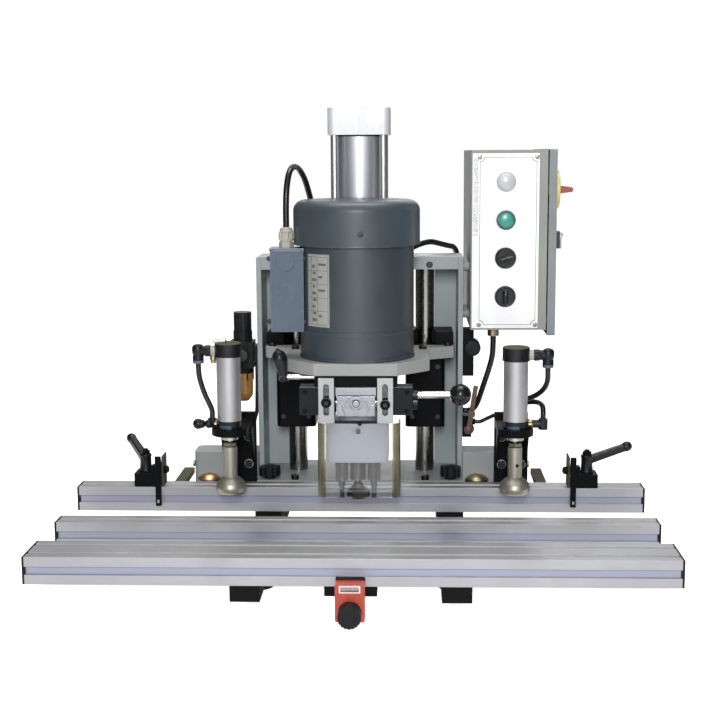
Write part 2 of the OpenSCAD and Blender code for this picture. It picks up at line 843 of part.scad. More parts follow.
// Toothed wheel whose tips stay inside the half of the axis distance
module gear(x, y, z, teeth) {
    translate([x, y, z[0]]) difference() {
        cylinder(h = z[1] - z[0], r = gear_r);
        for (k = [0:teeth - 1]) rotate([0, 0, 360 * k / teeth])
            translate([gear_r - 1.6, -0.8, -1]) cube([3, 1.6, z[1] - z[0] + 2]);
    }
}

module centre_spindle() {
    color("gray") place() {
        difference() {
            union() {
                rod_z(0, head_y, [gearbox_z - 2, gearbox_top + 40], 10);
                rod_z(0, head_y, [38, gearbox_z - 2], 12);
            }
            rod_z(0, head_y, [37, 58], 5);
        }
        gear(0, head_y, [gearbox_z + 14, gearbox_z + 34], 16);
    }
}

module cup_bit() {
    color("silver") place() {
        rod_z(0, head_y, [bit_z + 12, 58], 5);
        difference() {
            rod_z(0, head_y, [bit_z + 1.5, bit_z + 12], cup_d / 2);
            for (a = [45, 225]) translate([0, head_y, 0]) rotate([0, 0, a])
                span([4, cup_d], [-4, 5], [bit_z, bit_z + 11]);
        }
        translate([0, head_y, bit_z - 1.5]) cylinder(h = 3, r1 = 0.6, r2 = 3);
    }
}

// Side spindle with its chuck, gear and dowel bit
module side_spindle(s) {
    rod_z(s * dowel_x, dowel_y, [gearbox_z - 2, gearbox_top - 4 - gap], 6);
    difference() {
        rod_z(s * dowel_x, dowel_y, [38, gearbox_z - 2], 9.5);
        rod_z(s * dowel_x, dowel_y, [37, 58], 5);
        rod_x([s * dowel_x - 11, s * dowel_x + 11], dowel_y, 48, 2);
    }
    gear(s * dowel_x, dowel_y, [gearbox_z + 14, gearbox_z + 34], 16);
    rod_z(s * dowel_x, dowel_y, [30, 58], 5);
    translate([s * dowel_x, dowel_y, bit_z + 2]) difference() {
        cylinder(h = 30 - bit_z - 2, r = dowel_d / 2);
        for (a = [0, 180]) rotate([0, 0, a])
            translate([dowel_d / 2 + 0.4, 0, -1]) cylinder(h = 16, r = dowel_d / 4);
    }
    translate([s * dowel_x, dowel_y, bit_z]) cylinder(h = 2, r1 = 0.4, r2 = 2);
}

module left_spindle() {
    color("gray") place() side_spindle(-1);
}

module right_spindle() {
    color("gray") place() side_spindle(1);
}

module insertion_block() {
    color("darkslategray") place() {
        difference() {
            span([-ins_x, ins_x], [ins_y, ins_back], [ins_z, head_block_z]);
            span([-bracket_in + 1, bracket_in - 1], [ins_y - 1, ins_back + 1],
                [ins_z - 1, ins_z + 34]);
            rod_x([-ins_x - 1, ins_x + 1], ins_axis_y, ins_axis_z, ins_shaft_r + fit);
            for (z = [6, ins_h - 7]) rod_y(ins_x - 8, [ins_y - 1, ins_y + 5], ins_z + z, 4);
        }
        for (z = [6, ins_h - 7]) rod_y(ins_x - 8, [ins_y + 1, ins_y + 5], ins_z + z, 4);
    }
}

module insertion_handle() {
    rod_y0 = ins_axis_y - 7;
    rod_z0 = ins_axis_z + 12;
    x0 = ins_x + gap;
    color("black") place() {
        rod_x([-ins_x + 6, x0 + 3], ins_axis_y, ins_axis_z, ins_shaft_r);
        rod_x([x0, x0 + 7], ins_axis_y, ins_axis_z, 11);
        rod_x([x0, x0 + 7], rod_y0, rod_z0, 8);
        rod_x([x0 + 7, x0 + handle_len + 3], rod_y0, rod_z0, 5.5);
        translate([x0 + handle_len + ball_r - 2, rod_y0, rod_z0]) sphere(ball_r, $fn = 64);
    }
}

module insertion_die() {
    color("silver") place() difference() {
        union() {
            rod_x([-bracket_in + 3, bracket_in - 3], ins_axis_y, ins_axis_z, 13);
            span([-bracket_in + 3, bracket_in - 3], [ins_axis_y - 20, ins_axis_y],
                [ins_axis_z - 15, ins_axis_z + 12]);
            rod_y(0, [ins_axis_y - 25, ins_axis_y - 19], ins_axis_z + 2, 12);
            for (s = [-1, 1]) span([s * 20 - 5, s * 20 + 5],
                [ins_axis_y - 23, ins_axis_y - 19], [ins_axis_z - 14, ins_axis_z - 1]);
        }
        rod_x([-bracket_in, bracket_in], ins_axis_y, ins_axis_z, ins_shaft_r);
        rod_y(0, [ins_axis_y - 26, ins_axis_y - 22], ins_axis_z + 2, 8);
    }
}

module lock_lever() {
    y = ins_axis_y - 10;
    z = plate_z - 5;
    color("black") place() {
        rod_x([-98, -60 - gap], y, z, 4.5);
        rod_x([-112, -98], y, z, 7);
        translate([-105, y, z]) rotate([0, -12, 0]) {
            cylinder(h = 30, r = 4.5);
            translate([0, 0, 22]) rotate_extrude() polygon([[0, -10], [7, -8], [10, -2],
                [10, 4], [7, 11], [4, 14], [0, 15]]);
        }
    }
}

module slotted_bracket(s) {
    x = s > 0 ? [bracket_in, bracket_in + bracket_w] : [-bracket_in - bracket_w, -bracket_in];
    mid = (x[0] + x[1]) / 2;
    y = guard_y - bracket_t;
    difference() {
        span(x, [y, guard_y], [ins_z - 10, head_block_z + 15]);
        for (k = [-18, 20]) rod_y(mid, [y - 1, guard_y + 1], ins_z + 23 + k, 4);
        span([mid - 4, mid + 4], [y - 1, guard_y + 1], [ins_z + 5, ins_z + 43]);
    }
    rod_y(mid, [y - 5, y], ins_z + (s > 0 ? 17 : 20), 6);
}

module guard_brackets() {
    color("gainsboro") place() {
        slotted_bracket(-1);
        slotted_bracket(1);
    }
}

module guard() {
    color([0.8, 0.9, 0.9, 0.5]) place() {
        span([guard_off - guard_x, guard_off + guard_x], [guard_y, ins_y], [guard_z, ins_z - 12]);
        for (s = [-1, 1]) {
            span(s > 0 ? [bracket_in + 1, bracket_in + bracket_w - 1] :
                [-bracket_in - bracket_w + 1, -bracket_in - 1],
                [guard_y, ins_y], [ins_z - 12, head_block_z + 5]);
            translate([guard_off, 0, 0])
                span(s > 0 ? [guard_x - guard_t, guard_x] : [-guard_x, -guard_x + guard_t],
                    [ins_y, ins_y + 34], [guard_z, ins_z - 4]);
        }
    }
}

module clamp_tube(x, top) {
    difference() {
        rod_z(x, clamp_y, [clamp_z, top], clamp_r);
        rod_z(x, clamp_y, [clamp_z - 1, top + 1], clamp_r - 2);
    }
}

module clamp_tubes() {
    color("silver") place() {
        clamp_tube(clamp_left_x, clamp_top);
        clamp_tube(clamp_right_x, right_clamp_top);
    }
}

// Caps, gland nut, elbows and valves of one clamp cylinder
module clamp_fitting(x, s, top) {
    rod_z(x, clamp_y, [top, top + 19], clamp_r + 2);
    difference() {
        union() {
            rod_z(x, clamp_y, [clamp_z - 11, clamp_z], clamp_r);
            rod_z(x, clamp_y, [clamp_z - 22, clamp_z - 11], clamp_r - 3);
            rod_z(x, clamp_y, [clamp_z - 29, clamp_z - 22], 12.5);
        }
        rod_z(x, clamp_y, [clamp_z - 31, clamp_z + 1], clamp_rod_r + fit);
    }
    for (z = [top + 8, clamp_z - 5]) {
        hex_x(s > 0 ? [x + clamp_r + 1, x + clamp_r + 8] : [x - clamp_r - 8, x - clamp_r - 1],
            clamp_y, z, 6.5);
        rod_x(s > 0 ? [x + clamp_r - 3, x + clamp_r + 1] : [x - clamp_r - 1, x - clamp_r + 3],
            clamp_y, z, 4);
    }
}

module elbow(x, z, s, reach, drop, up) {
    rod_x(s > 0 ? [x, x + reach] : [x - reach, x], clamp_y, z, 6);
    rod_z(x + s * reach, clamp_y, [z - drop, z + up], 7);
}

module clamp_fittings() {
    color("black") place() {
        clamp_fitting(clamp_left_x, -1, clamp_top);
        clamp_fitting(clamp_right_x, 1, right_clamp_top);
        elbow(clamp_left_x - clamp_r - 8, clamp_top + 8, -1, 19, 16, 9);
        elbow(clamp_right_x + clamp_r + 8, right_clamp_top + 8, 1, 21, 16, 8);
        elbow(clamp_left_x - clamp_r - 2, clamp_z - 5, -1, 6, 5.5, 8);
        elbow(clamp_right_x + clamp_r + 8, clamp_z - 5, 1, 15, 8, 8);
        for (x = [-222, -233])
            translate([x, clamp_y - 9, clamp_z - 4]) sphere(6.5, $fn = 32);
        rod_x([-233, -214], clamp_y - 6, clamp_z - 4, 3);
    }
}

// Piston, rod, adjusting sleeve and bell foot
module clamp_rod(x) {
    rod_z(x, clamp_y, [sleeve_top, clamp_z + 40], clamp_rod_r);
    rod_z(x, clamp_y, [clamp_z + 30, clamp_z + 38], clamp_r - 2 - fit);
    translate([x, clamp_y, sleeve_top]) cylinder(h = 6, r = 6, $fn = 6);
    rod_z(x, clamp_y, [sleeve_z, sleeve_top], 10.5);
    translate([x, clamp_y, clamp_foot_z]) rotate_extrude() polygon([[0, 0],
        [clamp_foot_r - 4, 0], [clamp_foot_r - 1, 4], [clamp_foot_r, 10], [clamp_foot_r - 2, 17],
        [clamp_foot_r - 7, 22], [11, 26], [0, 26]]);
}

module left_clamp_rod() {
    color("silver") place() clamp_rod(clamp_left_x);
}

module right_clamp_rod() {
    color("silver") place() clamp_rod(clamp_right_x);
}

module clamp_bracket(x, plate_x) {
    half = clamp_plate_w / 2;
    difference() {
        union() {
            span([plate_x - half, plate_x + half], [clamp_plate_y, clamp_plate_y + 10], [8, 127]);
            span([x - half, x + half], [clamp_y - 8, clamp_plate_y],
                [clamp_z - 22, clamp_z - 11]);
            rod_z(x, clamp_y, [clamp_z - 22, clamp_z - 11], half);
        }
        rod_z(x, clamp_y, [clamp_z - 23, clamp_z - 10], clamp_r - 3);
    }
    for (k = [-15, 15]) for (z = [47, 90])
        rod_y(plate_x + k, [clamp_plate_y - 6, clamp_plate_y], z, 6);
}

module clamp_brackets() {
    color("black") place() {
        clamp_bracket(clamp_left_x, -frame_x - 0.5 - clamp_plate_w / 2);
        clamp_bracket(clamp_right_x, clamp_right_x);
    }
}

// Sliding block of a stop, drawn for the right side
module stop_block() {
    x0 = stop_x;
    w = slot_mouth / 2 - gap;
    span([x0 + 1, x0 + stop_block_w], [fence_y + 1, fence_back - 1], [stop_z, stop_top - 3]);
    difference() {
        span([x0 + stop_plate_w + 1.5, x0 + stop_block_w], [fence_y + 1, fence_back - 1],
            [stop_top - 3, stop_top + 3 - gap]);
        rod_z(x0 + ratchet_x, stop_y, [stop_top - 2, stop_top + 4], 4);
    }
    span([x0 + stop_plate_w + 1.5, x0 + stop_plate_w + 6.5], [fence_y + 1, pivot_y + 7],
        [stop_top, pivot_z + 7]);
    rod_x([x0 - 6, x0 + stop_plate_w + 6.5], pivot_y, pivot_z, 3);
    rod_x([x0 - 9, x0 - 3], pivot_y, pivot_z, 6);
    span([x0 + 2, x0 + stop_block_w - 2], [stop_y - w, stop_y + w],
        [fence_top - slot_lip, stop_z]);
    rod_z(x0 + ratchet_x, stop_y, [stop_top - 2, hub_z + 35], 4);
    translate([x0 + ratchet_x, stop_y, hub_z + 27 + gap]) cylinder(h = 5, r = 7, $fn = 6);
}

// Flip-up plate of a stop: strip in front of the fence with its lug on the pin
module stop_plate() {
    x = [stop_x, stop_x + stop_plate_w];
    front = fence_y - 6;
    difference() {
        union() {
            span(x, [front, fence_y - gap], [pivot_z + 22 - stop_plate_len, pivot_z + 22]);
            span(x, [front, pivot_y], [pivot_z - 5, pivot_z + 6.5]);
            rod_x(x, pivot_y, pivot_z, 6.5);
            translate([x[0], 0, 0]) rotate([90, 0, 90]) linear_extrude(stop_plate_w)
                polygon([[front, pivot_z + 22], [front, pivot_z], [pivot_y, pivot_z + 6.5],
                    [fence_y, pivot_z + 22]]);
        }
        rod_x([x[0] - 1, x[1] + 1], pivot_y, pivot_z, 3 + fit);
    }
}

module stop_lever(turn) {
    x = stop_x + ratchet_x;
    difference() {
        union() {
            rod_z(x, stop_y, [hub_z, hub_z + 27], 10);
            translate([x, stop_y, hub_z + 18.3]) rotate([0, 90 - ratchet_rise, turn]) {
                cylinder(h = ratchet_len - 4, r = 5.8);
                translate([0, 0, ratchet_len - 6]) sphere(7.5, $fn = 32);
            }
        }
        rod_z(x, stop_y, [hub_z - 1, hub_z + 28], 4 + fit);
    }
}

module left_stop_block() {
    color("black") place() left_stop() stop_block();
}

module right_stop_block() {
    color("black") place() stop_block();
}

module left_stop_plate() {
    color("black") place() left_stop() stop_plate();
}

module right_stop_plate() {
    color("black") place() stop_plate();
}

module left_stop_lever() {
    color("black") place() left_stop() stop_lever(left_ratchet_turn);
}

module right_stop_lever() {
    color("black") place() stop_lever(0);
}

// The left stop mirrors the right one and stands a little nearer the centre
module left_stop() {
    translate([stop_shift, 0, 0]) mirror([1, 0, 0]) children();
}

module control_box() {
    x1 = box_x + box_w;
    color("gray") place() {
        difference() {
            span([box_x, x1], [box_y, box_back], [box_z, box_z + box_h]);
            span([box_x + box_wall, x1 + 1], [box_y + box_wall, box_back - box_wall],
                [box_z + box_wall, box_z + box_h - box_wall]);
            for (z = panel_z)
                rod_y(panel_x, [box_y - 1, box_y + box_wall + 1], z, 8 + fit);
        }
        difference() {
            span([box_x + 2, x1 - 12], [box_y - 1, box_y], [box_z + 6, box_z + box_h - 4]);
            for (z = panel_z)
                rod_y(panel_x, [box_y - 2, box_y + 1], z, 8 + fit);
        }
        for (y = [frame_y + 14, frame_back - 14], z = [box_z + 18, frame_z - 16])
            rod_x([frame_x, box_x], y, z, 7);
        for (z = hinge_zs) box_hinge_leaf(x1, z);
        translate([panel_x - 13, column_y - 25, box_z - 18]) difference() {
            union() {
                cylinder(h = 18, r = 9);
                translate([0, 0, 11]) cylinder(h = 7, r = 11, $fn = 6);
            }
            translate([0, 0, -1]) cylinder(h = 6, r = 4.5);
        }
    }
}

// Hinge leaf on the box: two knuckles and the pin, with room for the door's knuckle
module box_hinge_leaf(x1, z) {
    difference() {
        union() {
            span([x1 - box_wall, hinge_x], [box_back - 5, box_back], [z - 16, z + 16]);
            rod_z(hinge_x, hinge_y, [z - 16, z + 16], knuckle_r);
        }
        span([hinge_x - knuckle_r - 1, hinge_x + knuckle_r + 1],
            [hinge_y - knuckle_r - 1, box_back + 1], [z - 6, z + 6]);
    }
    rod_z(hinge_x, hinge_y, [z - 8, z + 8], hinge_pin_r);
}

// Hinge strap on the door with its knuckle on the pin
module door_hinge_strap(z) {
    zs = [z - 6 + gap, z + 6 - gap];
    difference() {
        union() {
            span([door_x + door_t, door_x + door_t + 2], [door_back - 18, hinge_y], zs);
            rod_z(hinge_x, hinge_y, zs, knuckle_r);
        }
        rod_z(hinge_x, hinge_y, [z - 7, z + 7], hinge_pin_r + fit);
    }
}

module box_door() {
    x = [door_x, door_x + door_t];
    color("gray") place() {
        difference() {
            union() {
                round_box_x(x, [box_y + 1, door_back], [box_z - 9, box_z + box_h + 1]);
                span([x[1], x[1] + 7], [box_y + 16, box_y + 34], [box_z + 122, box_z + 148]);
            }
            span([x[0] - 1, x[1] - box_wall], [box_y + 3, door_back - 2],
                [box_z - 7, box_z + box_h - 1]);
            rod_x([x[0] - 1, x[1] + 1], disc_y, disc_z, 9 + fit);
        }
        for (z = hinge_zs) door_hinge_strap(z);
    }
}

module round_box_x(x, y, z) {
    translate([x[0], 0, 0]) rotate([90, 0, 90]) linear_extrude(x[1] - x[0])
        round_rect(y, z, 3);
}

module disconnect_handle() {
    x0 = door_x + door_t;
    color("gold") place() {
        rod_x([x0 - 9, x0 + gap], disc_y, disc_z, 9);
        rod_x([x0 + gap, x0 + 7], disc_y, disc_z, disc_r);
        translate([x0, disc_y + 18, disc_z]) rotate([90, 0, 0]) linear_extrude(grip_len)
            polygon([[6, -6], [6, 6], [25, 3.5], [27, 2], [27, -2], [25, -3.5]]);
    }
}

// Panel device: stem through the panel and a bezel in front of it
module panel_stem(z, r, front) {
    rod_y(panel_x, [box_y - 1 - gap - front, box_y + 22], z, 8);
    rod_y(panel_x, [box_y - 1 - gap - 5, box_y - 1 - gap], z, r);
}

module start_button() {
    color("green") place() {
        rod_y(panel_x, [box_y - 6, box_y + 18], panel_z[2], 8);
        rod_y(panel_x, [box_y - 12, box_y - 5], panel_z[2], bezel_r - 3);
    }
}

module selector(z, tilt) {
    panel_stem(z, bezel_r, 5);
    translate([panel_x, box_y - 6, z]) rotate([0, tilt, 0])
        span([-4, 4], [-14, 0], [-12, 12]);
}

module upper_selector() {
    color("black") place() selector(panel_z[1], 58);
}

module lower_selector() {
    color("black") place() selector(panel_z[0], 0);
}

module signal_lamp() {
    color("whitesmoke") place() {
        rod_y(panel_x, [box_y - 5, box_y + 20], panel_z[3], 8);
        rod_y(panel_x, [box_y - 6, box_y - 1], panel_z[3], bezel_r - 1);
        rod_y(panel_x, [box_y - 10, box_y - 6], panel_z[3], bezel_r - 4);
    }
}

// Regulator with its filter bowl, hung on the left cheek
module air_regulator() {
    top = reg_z + reg_h;
    color("black") place() {
        span([reg_x - reg_w / 2 - 1, reg_x + reg_w / 2 - 1],
            [reg_y - reg_d / 2, reg_y + reg_d / 2], [reg_z, top]);
        rod_z(reg_x, reg_y, [top, top + 16], 15);
        span([reg_x + reg_w / 2 - 1, -frame_x], [reg_y - 12, reg_y + 12],
            [reg_z + 10, top - 6]);
        translate([reg_x, reg_y, bowl_z]) rotate_extrude() polygon([[0, 0], [bowl_r - 7, 0],
            [bowl_r - 1, 8], [bowl_r, 14], [bowl_r, bowl_h], [0, bowl_h]]);
        rod_y(reg_x, [reg_y - reg_d / 2 - 6, reg_y - reg_d / 2], reg_z + 22, 11);
    }
}

module regulator_knob() {
    foot = reg_z + reg_h + 16;
    color("black") place() difference() {
        rod_z(reg_x, reg_y, [foot + gap, foot + 30], 14);
        for (a = [0:30:330]) translate([reg_x, reg_y, 0]) rotate([0, 0, a])
            rod_z(14.8, 0, [foot + 6, foot + 31], 1.6);
    }
}

// Round-topped valve and hand valve on the right cheek
module lever_valve() {
    color("black") place() {
        span([frame_x, frame_x + 17], [frame_y + 5, frame_y + 33], [valve_z, valve_z + valve_h]);
        rod_y(frame_x + 15, [frame_y + 7, frame_y + 31], valve_z + valve_h - 30, valve_r);
        span([frame_x, frame_x + 14], [frame_y - 4, frame_y + 22], [hand_z, hand_z + hand_h]);
        difference() {
            rod_y(hand_x, [frame_y - 9, frame_y - 4], hand_axis_z, 9);
            rod_y(hand_x, [frame_y - 10, frame_y - 4], hand_axis_z, 4 + fit);
        }
        rod_x([frame_x + 14, frame_x + 20], frame_y + 5, hand_axis_z + 9, 5);
    }
}

module valve_lever() {
    color("brown") place() {
        rod_y(hand_x, [frame_y - 16, frame_y - 4 - gap], hand_axis_z, 4);
        rod_y(hand_x, [frame_y - 16, frame_y - 11], hand_axis_z, 7);
        translate([hand_x, frame_y - 16, hand_axis_z]) rotate([0, 9, 0]) {
            span([-3.5, 3.5], [0, 5], [0, hand_lever]);
            rod_y(0, [-6, 8], 26, 6);
        }
    }
}

// Star knob with its stem in the base floor
module star_knob(s) {
    x = s * star_x;
    rod_z(x, star_y, [floor_top - 16, floor_top + 6], 5);
    rod_z(x, star_y, [floor_top + gap, floor_top + 5], 9);
    difference() {
        rod_z(x, star_y, [floor_top + 5, floor_top + 19], 16.5);
        for (a = [0:60:300]) translate([x, star_y, 0]) rotate([0, 0, a])
            rod_z(18, 0, [floor_top + 4, floor_top + 20], 4.5);
    }
}

module left_star_knob() {
    color("black") place() star_knob(-1);
}

module right_star_knob() {
    color("black") place() star_knob(1);
}

module motor_cable() {
    color("black") place() swept_cord(motor_route, 4.5, 10);
}

module control_cable() {
    color("black") place() swept_cord(control_route, 4.5, 10);
}

module air_hoses() {
    color("black") place() {
        swept_cord(left_loop, 4, 10);
        swept_cord(right_loop, 4, 10);
        swept_cord(regulator_hose, 3, 8);
        swept_cord(valve_hose, 3, 8);
    }
}

levelling_feet();
skid_bars();
table_rails();
fence_rail();
rail_end_caps();
fence_arms();
indicator_bracket();
indicator_body();
indicator_knob();
base_casting();
frame_cheeks();
top_bar();
guide_columns();
cylinder_caps();
cylinder_barrel();
piston_rod();
carriage_plate();
bearing_housings();
motor_body();
fan_cover();
motor_rotor();
terminal_box();
gearbox_case();
centre_spindle();
cup_bit();
left_spindle();
right_spindle();
insertion_block();
insertion_handle();
insertion_die();
lock_lever();
guard_brackets();
guard();
clamp_tubes();
clamp_fittings();
left_clamp_rod();
right_clamp_rod();
clamp_brackets();
left_stop_block();
right_stop_block();
left_stop_plate();
right_stop_plate();
left_stop_lever();
right_stop_lever();
control_box();
box_door();
disconnect_handle();
start_button();
upper_selector();
lower_selector();
signal_lamp();
air_regulator();
regulator_knob();
lever_valve();
valve_lever();
left_star_knob();
right_star_knob();
motor_cable();
control_cable();
air_hoses();
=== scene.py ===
"""Looks of a bench-top hinge boring machine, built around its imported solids."""
import json
import math

import bpy
from mathutils import Euler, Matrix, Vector

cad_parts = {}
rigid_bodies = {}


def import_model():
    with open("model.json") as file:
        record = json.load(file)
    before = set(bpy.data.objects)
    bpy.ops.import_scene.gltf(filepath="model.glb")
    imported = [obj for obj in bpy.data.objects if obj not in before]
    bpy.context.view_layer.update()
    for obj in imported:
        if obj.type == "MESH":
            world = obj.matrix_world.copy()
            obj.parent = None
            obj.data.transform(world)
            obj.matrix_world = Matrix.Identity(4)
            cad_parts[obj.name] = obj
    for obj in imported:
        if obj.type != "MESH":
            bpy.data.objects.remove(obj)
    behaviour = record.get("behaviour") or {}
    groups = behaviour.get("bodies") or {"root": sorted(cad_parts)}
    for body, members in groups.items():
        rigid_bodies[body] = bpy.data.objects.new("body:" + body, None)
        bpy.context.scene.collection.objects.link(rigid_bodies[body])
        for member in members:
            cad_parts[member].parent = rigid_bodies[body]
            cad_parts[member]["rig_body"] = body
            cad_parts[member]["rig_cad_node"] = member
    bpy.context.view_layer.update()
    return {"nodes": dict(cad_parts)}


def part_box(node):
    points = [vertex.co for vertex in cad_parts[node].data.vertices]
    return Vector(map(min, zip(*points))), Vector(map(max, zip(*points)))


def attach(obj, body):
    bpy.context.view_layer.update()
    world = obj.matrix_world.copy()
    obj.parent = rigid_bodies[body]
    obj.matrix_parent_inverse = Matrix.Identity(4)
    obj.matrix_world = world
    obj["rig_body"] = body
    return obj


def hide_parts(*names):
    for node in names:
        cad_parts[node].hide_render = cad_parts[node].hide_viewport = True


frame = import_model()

nodes = frame["nodes"]
MM = 0.001

# Working frame of the machine: X from the middle of the rails, Y from the front rail's face,
# Z from the table top. at() turns its millimetres into a point of the part.
rails_low, rails_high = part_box("table_rails")
TABLE = Vector((0, rails_low.y, rails_high.z))


def at(x, y, z):
    return TABLE + Vector((x, y, z)) * MM


# Camera

def set_camera():
    lens = bpy.data.cameras.new("camera")
    lens.lens = 66.455
    lens.sensor_width = 36
    lens.clip_start = 0.05
    lens.clip_end = 60
    camera = bpy.data.objects.new("camera", lens)
    camera.location = (0.0769, -1.9594, 0.6233)
    camera.rotation_euler = Euler([math.radians(a) for a in (81.126, 0.324, 2.088)])
    bpy.context.collection.objects.link(camera)
    bpy.context.scene.camera = camera


set_camera()


# Finishes: each material is a shader with its grain, tone and relief from nodes

def shader_of(material):
    return material.node_tree.nodes["Principled BSDF"]


def fix(material, name, value):
    """Sets one of the shader's inputs to a constant."""
    shader_of(material).inputs[name].default_value = value


def new_material(name, colour, roughness, metallic=0.0):
    material = bpy.data.materials.new(name)
    material.use_nodes = True
    fix(material, "Base Color", (*colour, 1))
    fix(material, "Roughness", roughness)
    fix(material, "Metallic", metallic)
    material.diffuse_color = (*colour, 1)
    return material


def add_node(material, kind, **settings):
    node = material.node_tree.nodes.new(kind)
    for name, value in settings.items():
        setattr(node, name, value)
    return node


def link(material, source, target):
    material.node_tree.links.new(source, target)


def drive(material, name, source):
    """Feeds one of the shader's inputs from a node."""
    link(material, source, shader_of(material).inputs[name])


EVEN = (1, 1, 1)


def speckle(material, size, stretch=EVEN, detail=2.0):
    """Noise on the object's own coordinates; size is that of one grain, in metres."""
    place = add_node(material, "ShaderNodeTexCoord")
    mapping = add_node(material, "ShaderNodeMapping")
    mapping.inputs["Scale"].default_value = stretch
    noise = add_node(material, "ShaderNodeTexNoise")
    noise.inputs["Scale"].default_value = 1 / size
    noise.inputs["Detail"].default_value = detail
    link(material, place.outputs["Object"], mapping.inputs["Vector"])
    link(material, mapping.outputs["Vector"], noise.inputs["Vector"])
    return noise.outputs["Fac"]


def ramp(material, factor, stops):
    """Colours along a factor: stops are (position, colour)."""
    node = add_node(material, "ShaderNodeValToRGB")
    elements = node.color_ramp.elements
    while len(elements) < len(stops):
        elements.new(0.5)
    for element, (position, colour) in zip(elements, stops):
        element.position = position
        element.color = (*colour, 1)
    link(material, factor, node.inputs["Fac"])
    return node.outputs["Color"]


def spread(material, factor, low, high, start=0.3, end=0.7):
    node = add_node(material, "ShaderNodeMapRange")
    node.inputs["From Min"].default_value = start
    node.inputs["From Max"].default_value = end
    node.inputs["To Min"].default_value = low
    node.inputs["To Max"].default_value = high
    link(material, factor, node.inputs["Value"])
    return node.outputs["Result"]


def relief(material, factor, height):
    node = add_node(material, "ShaderNodeBump")
    node.inputs["Distance"].default_value = height
    node.inputs["Strength"].default_value = 1
    link(material, factor, node.inputs["Height"])
    drive(material, "Normal", node.outputs["Normal"])


def edge_factor(material, width):
    """Near 0 on flat faces and rising along edges, broken up by a fine noise."""
    rounded = add_node(material, "ShaderNodeBevel", samples=4)
    rounded.inputs["Radius"].default_value = width
    surface = add_node(material, "ShaderNodeNewGeometry")
    facing = add_node(material, "ShaderNodeVectorMath", operation="DOT_PRODUCT")
    link(material, rounded.outputs["Normal"], facing.inputs[0])
    link(material, surface.outputs["Normal"], facing.inputs[1])
    edge = spread(material, facing.outputs["Value"], 1, 0, 0.86, 0.99)
    patchy = spread(material, speckle(material, 0.004), 0, 1, 0.42, 0.6)
    product = add_node(material, "ShaderNodeMath", operation="MULTIPLY")
    link(material, edge, product.inputs[0])
    link(material, patchy, product.inputs[1])
    return product.outputs["Value"]


def blend_colours(material, factor, first, second):
    """Mix of an output and a colour."""
    node = add_node(material, "ShaderNodeMix", data_type="RGBA")
    link(material, first, node.inputs[6])
    node.inputs[7].default_value = (*second, 1)
    link(material, factor, node.inputs["Factor"])
    return node.outputs[2]


def scaled(colour, k):
    return tuple(min(1.0, c * k) for c in colour)


def clouded(material, colour, size, low, high):
    """The colour drifting between two shares of itself over patches of the size."""
    return ramp(material, speckle(material, *size), [(0.3, scaled(colour, low)), (0.7, scaled(colour, high))])


def enamel(name, colour, roughness, peel=0.00025, peel_height=0.00003, worn=None, shine=0.5):
    """Sprayed paint: orange peel, slow changes of tone, and edges rubbed paler."""
    material = new_material(name, colour, roughness)
    fix(material, "Specular IOR Level", shine)
    tone = clouded(material, colour, (0.09, EVEN, 4), 0.92, 1.08)
    if worn:
        tone = blend_colours(material, edge_factor(material, 0.0012), tone, worn)
    drive(material, "Base Color", tone)
    drive(material, "Roughness", spread(material, speckle(material, 0.03, EVEN, 3),
                                        roughness - 0.06, roughness + 0.08))
    relief(material, speckle(material, peel * 8, EVEN, 1), peel_height)
    return material


def drawn_metal(name, colour, roughness, stretch, grain=0.0004, height=0.000012, bright=1.12):
    """Bare metal with a lay: stretch is small along the lay and 1 across it."""
    material = new_material(name, colour, roughness, 1.0)
    lay = speckle(material, grain, stretch, 3)
    drive(material, "Base Color", clouded(material, colour, (0.06, EVEN, 3), 0.93, bright))
    drive(material, "Roughness", spread(material, lay, roughness - 0.09, roughness + 0.1))
    relief(material, lay, height)
    return material


def anodised(name, colour, roughness, stretch, metal=0.6):
    """Anodised or matt machined aluminium: part metal, part pale oxide, with a faint lay."""
    material = drawn_metal(name, colour, roughness, stretch, grain=0.0006, height=0.000003, bright=1.06)
    fix(material, "Metallic", metal)
    fix(material, "Specular IOR Level", 0.3)
    return material


def moulded(name, colour, roughness, texture=0.0006, height=0.00002, drift=0.1, shine=0.5):
    """Moulded plastic with a fine spark-eroded texture and handling marks."""
    material = new_material(name, colour, roughness)
    fix(material, "Specular IOR Level", shine)
    drive(material, "Base Color", clouded(material, colour, (0.02, EVEN, 3), 1 - drift, 1 + drift))
    drive(material, "Roughness", spread(material, speckle(material, 0.012, EVEN, 4),
                                        roughness - 0.05, roughness + 0.12))
    relief(material, speckle(material, texture, EVEN, 1), height)
    return material


ALONG_X = (0.02, 1, 1)
ALONG_Z = (1, 1, 0.02)
ROUND_Z = (0.05, 0.05, 1)

rail_finish = anodised("anodised_rail", (0.338, 0.340, 0.368), 0.48, ALONG_X)
barrel_finish = anodised("brushed_barrel", (0.44, 0.455, 0.495), 0.42, ALONG_Z, metal=0.85)
cap_finish = anodised("milled_cap", (0.60, 0.61, 0.63), 0.5, ALONG_Z, metal=0.2)
tie_finish = anodised("tie_rod", (0.52, 0.52, 0.53), 0.36, ALONG_Z, metal=0.9)
# painted light: paler finish for the front-facing lips in the rails' top slots, so they read as lit
lip_light_finish = anodised("slot_lip_painted_light", (0.62, 0.63, 0.62), 0.45, ALONG_X)
tube_finish = anodised("anodised_tube", (0.40, 0.40, 0.415), 0.42, ALONG_Z)
clamp_steel = anodised("clamp_steel", (0.33, 0.32, 0.275), 0.44, ALONG_Z, metal=0.8)
column_finish = drawn_metal("ground_column", (0.24, 0.235, 0.22), 0.2, ROUND_Z, height=0.000002)
steel_finish = drawn_metal("turned_steel", (0.40, 0.385, 0.34), 0.34, ROUND_Z)
bracket_finish = anodised("milled_bracket", (0.315, 0.32, 0.33), 0.42, ALONG_Z)
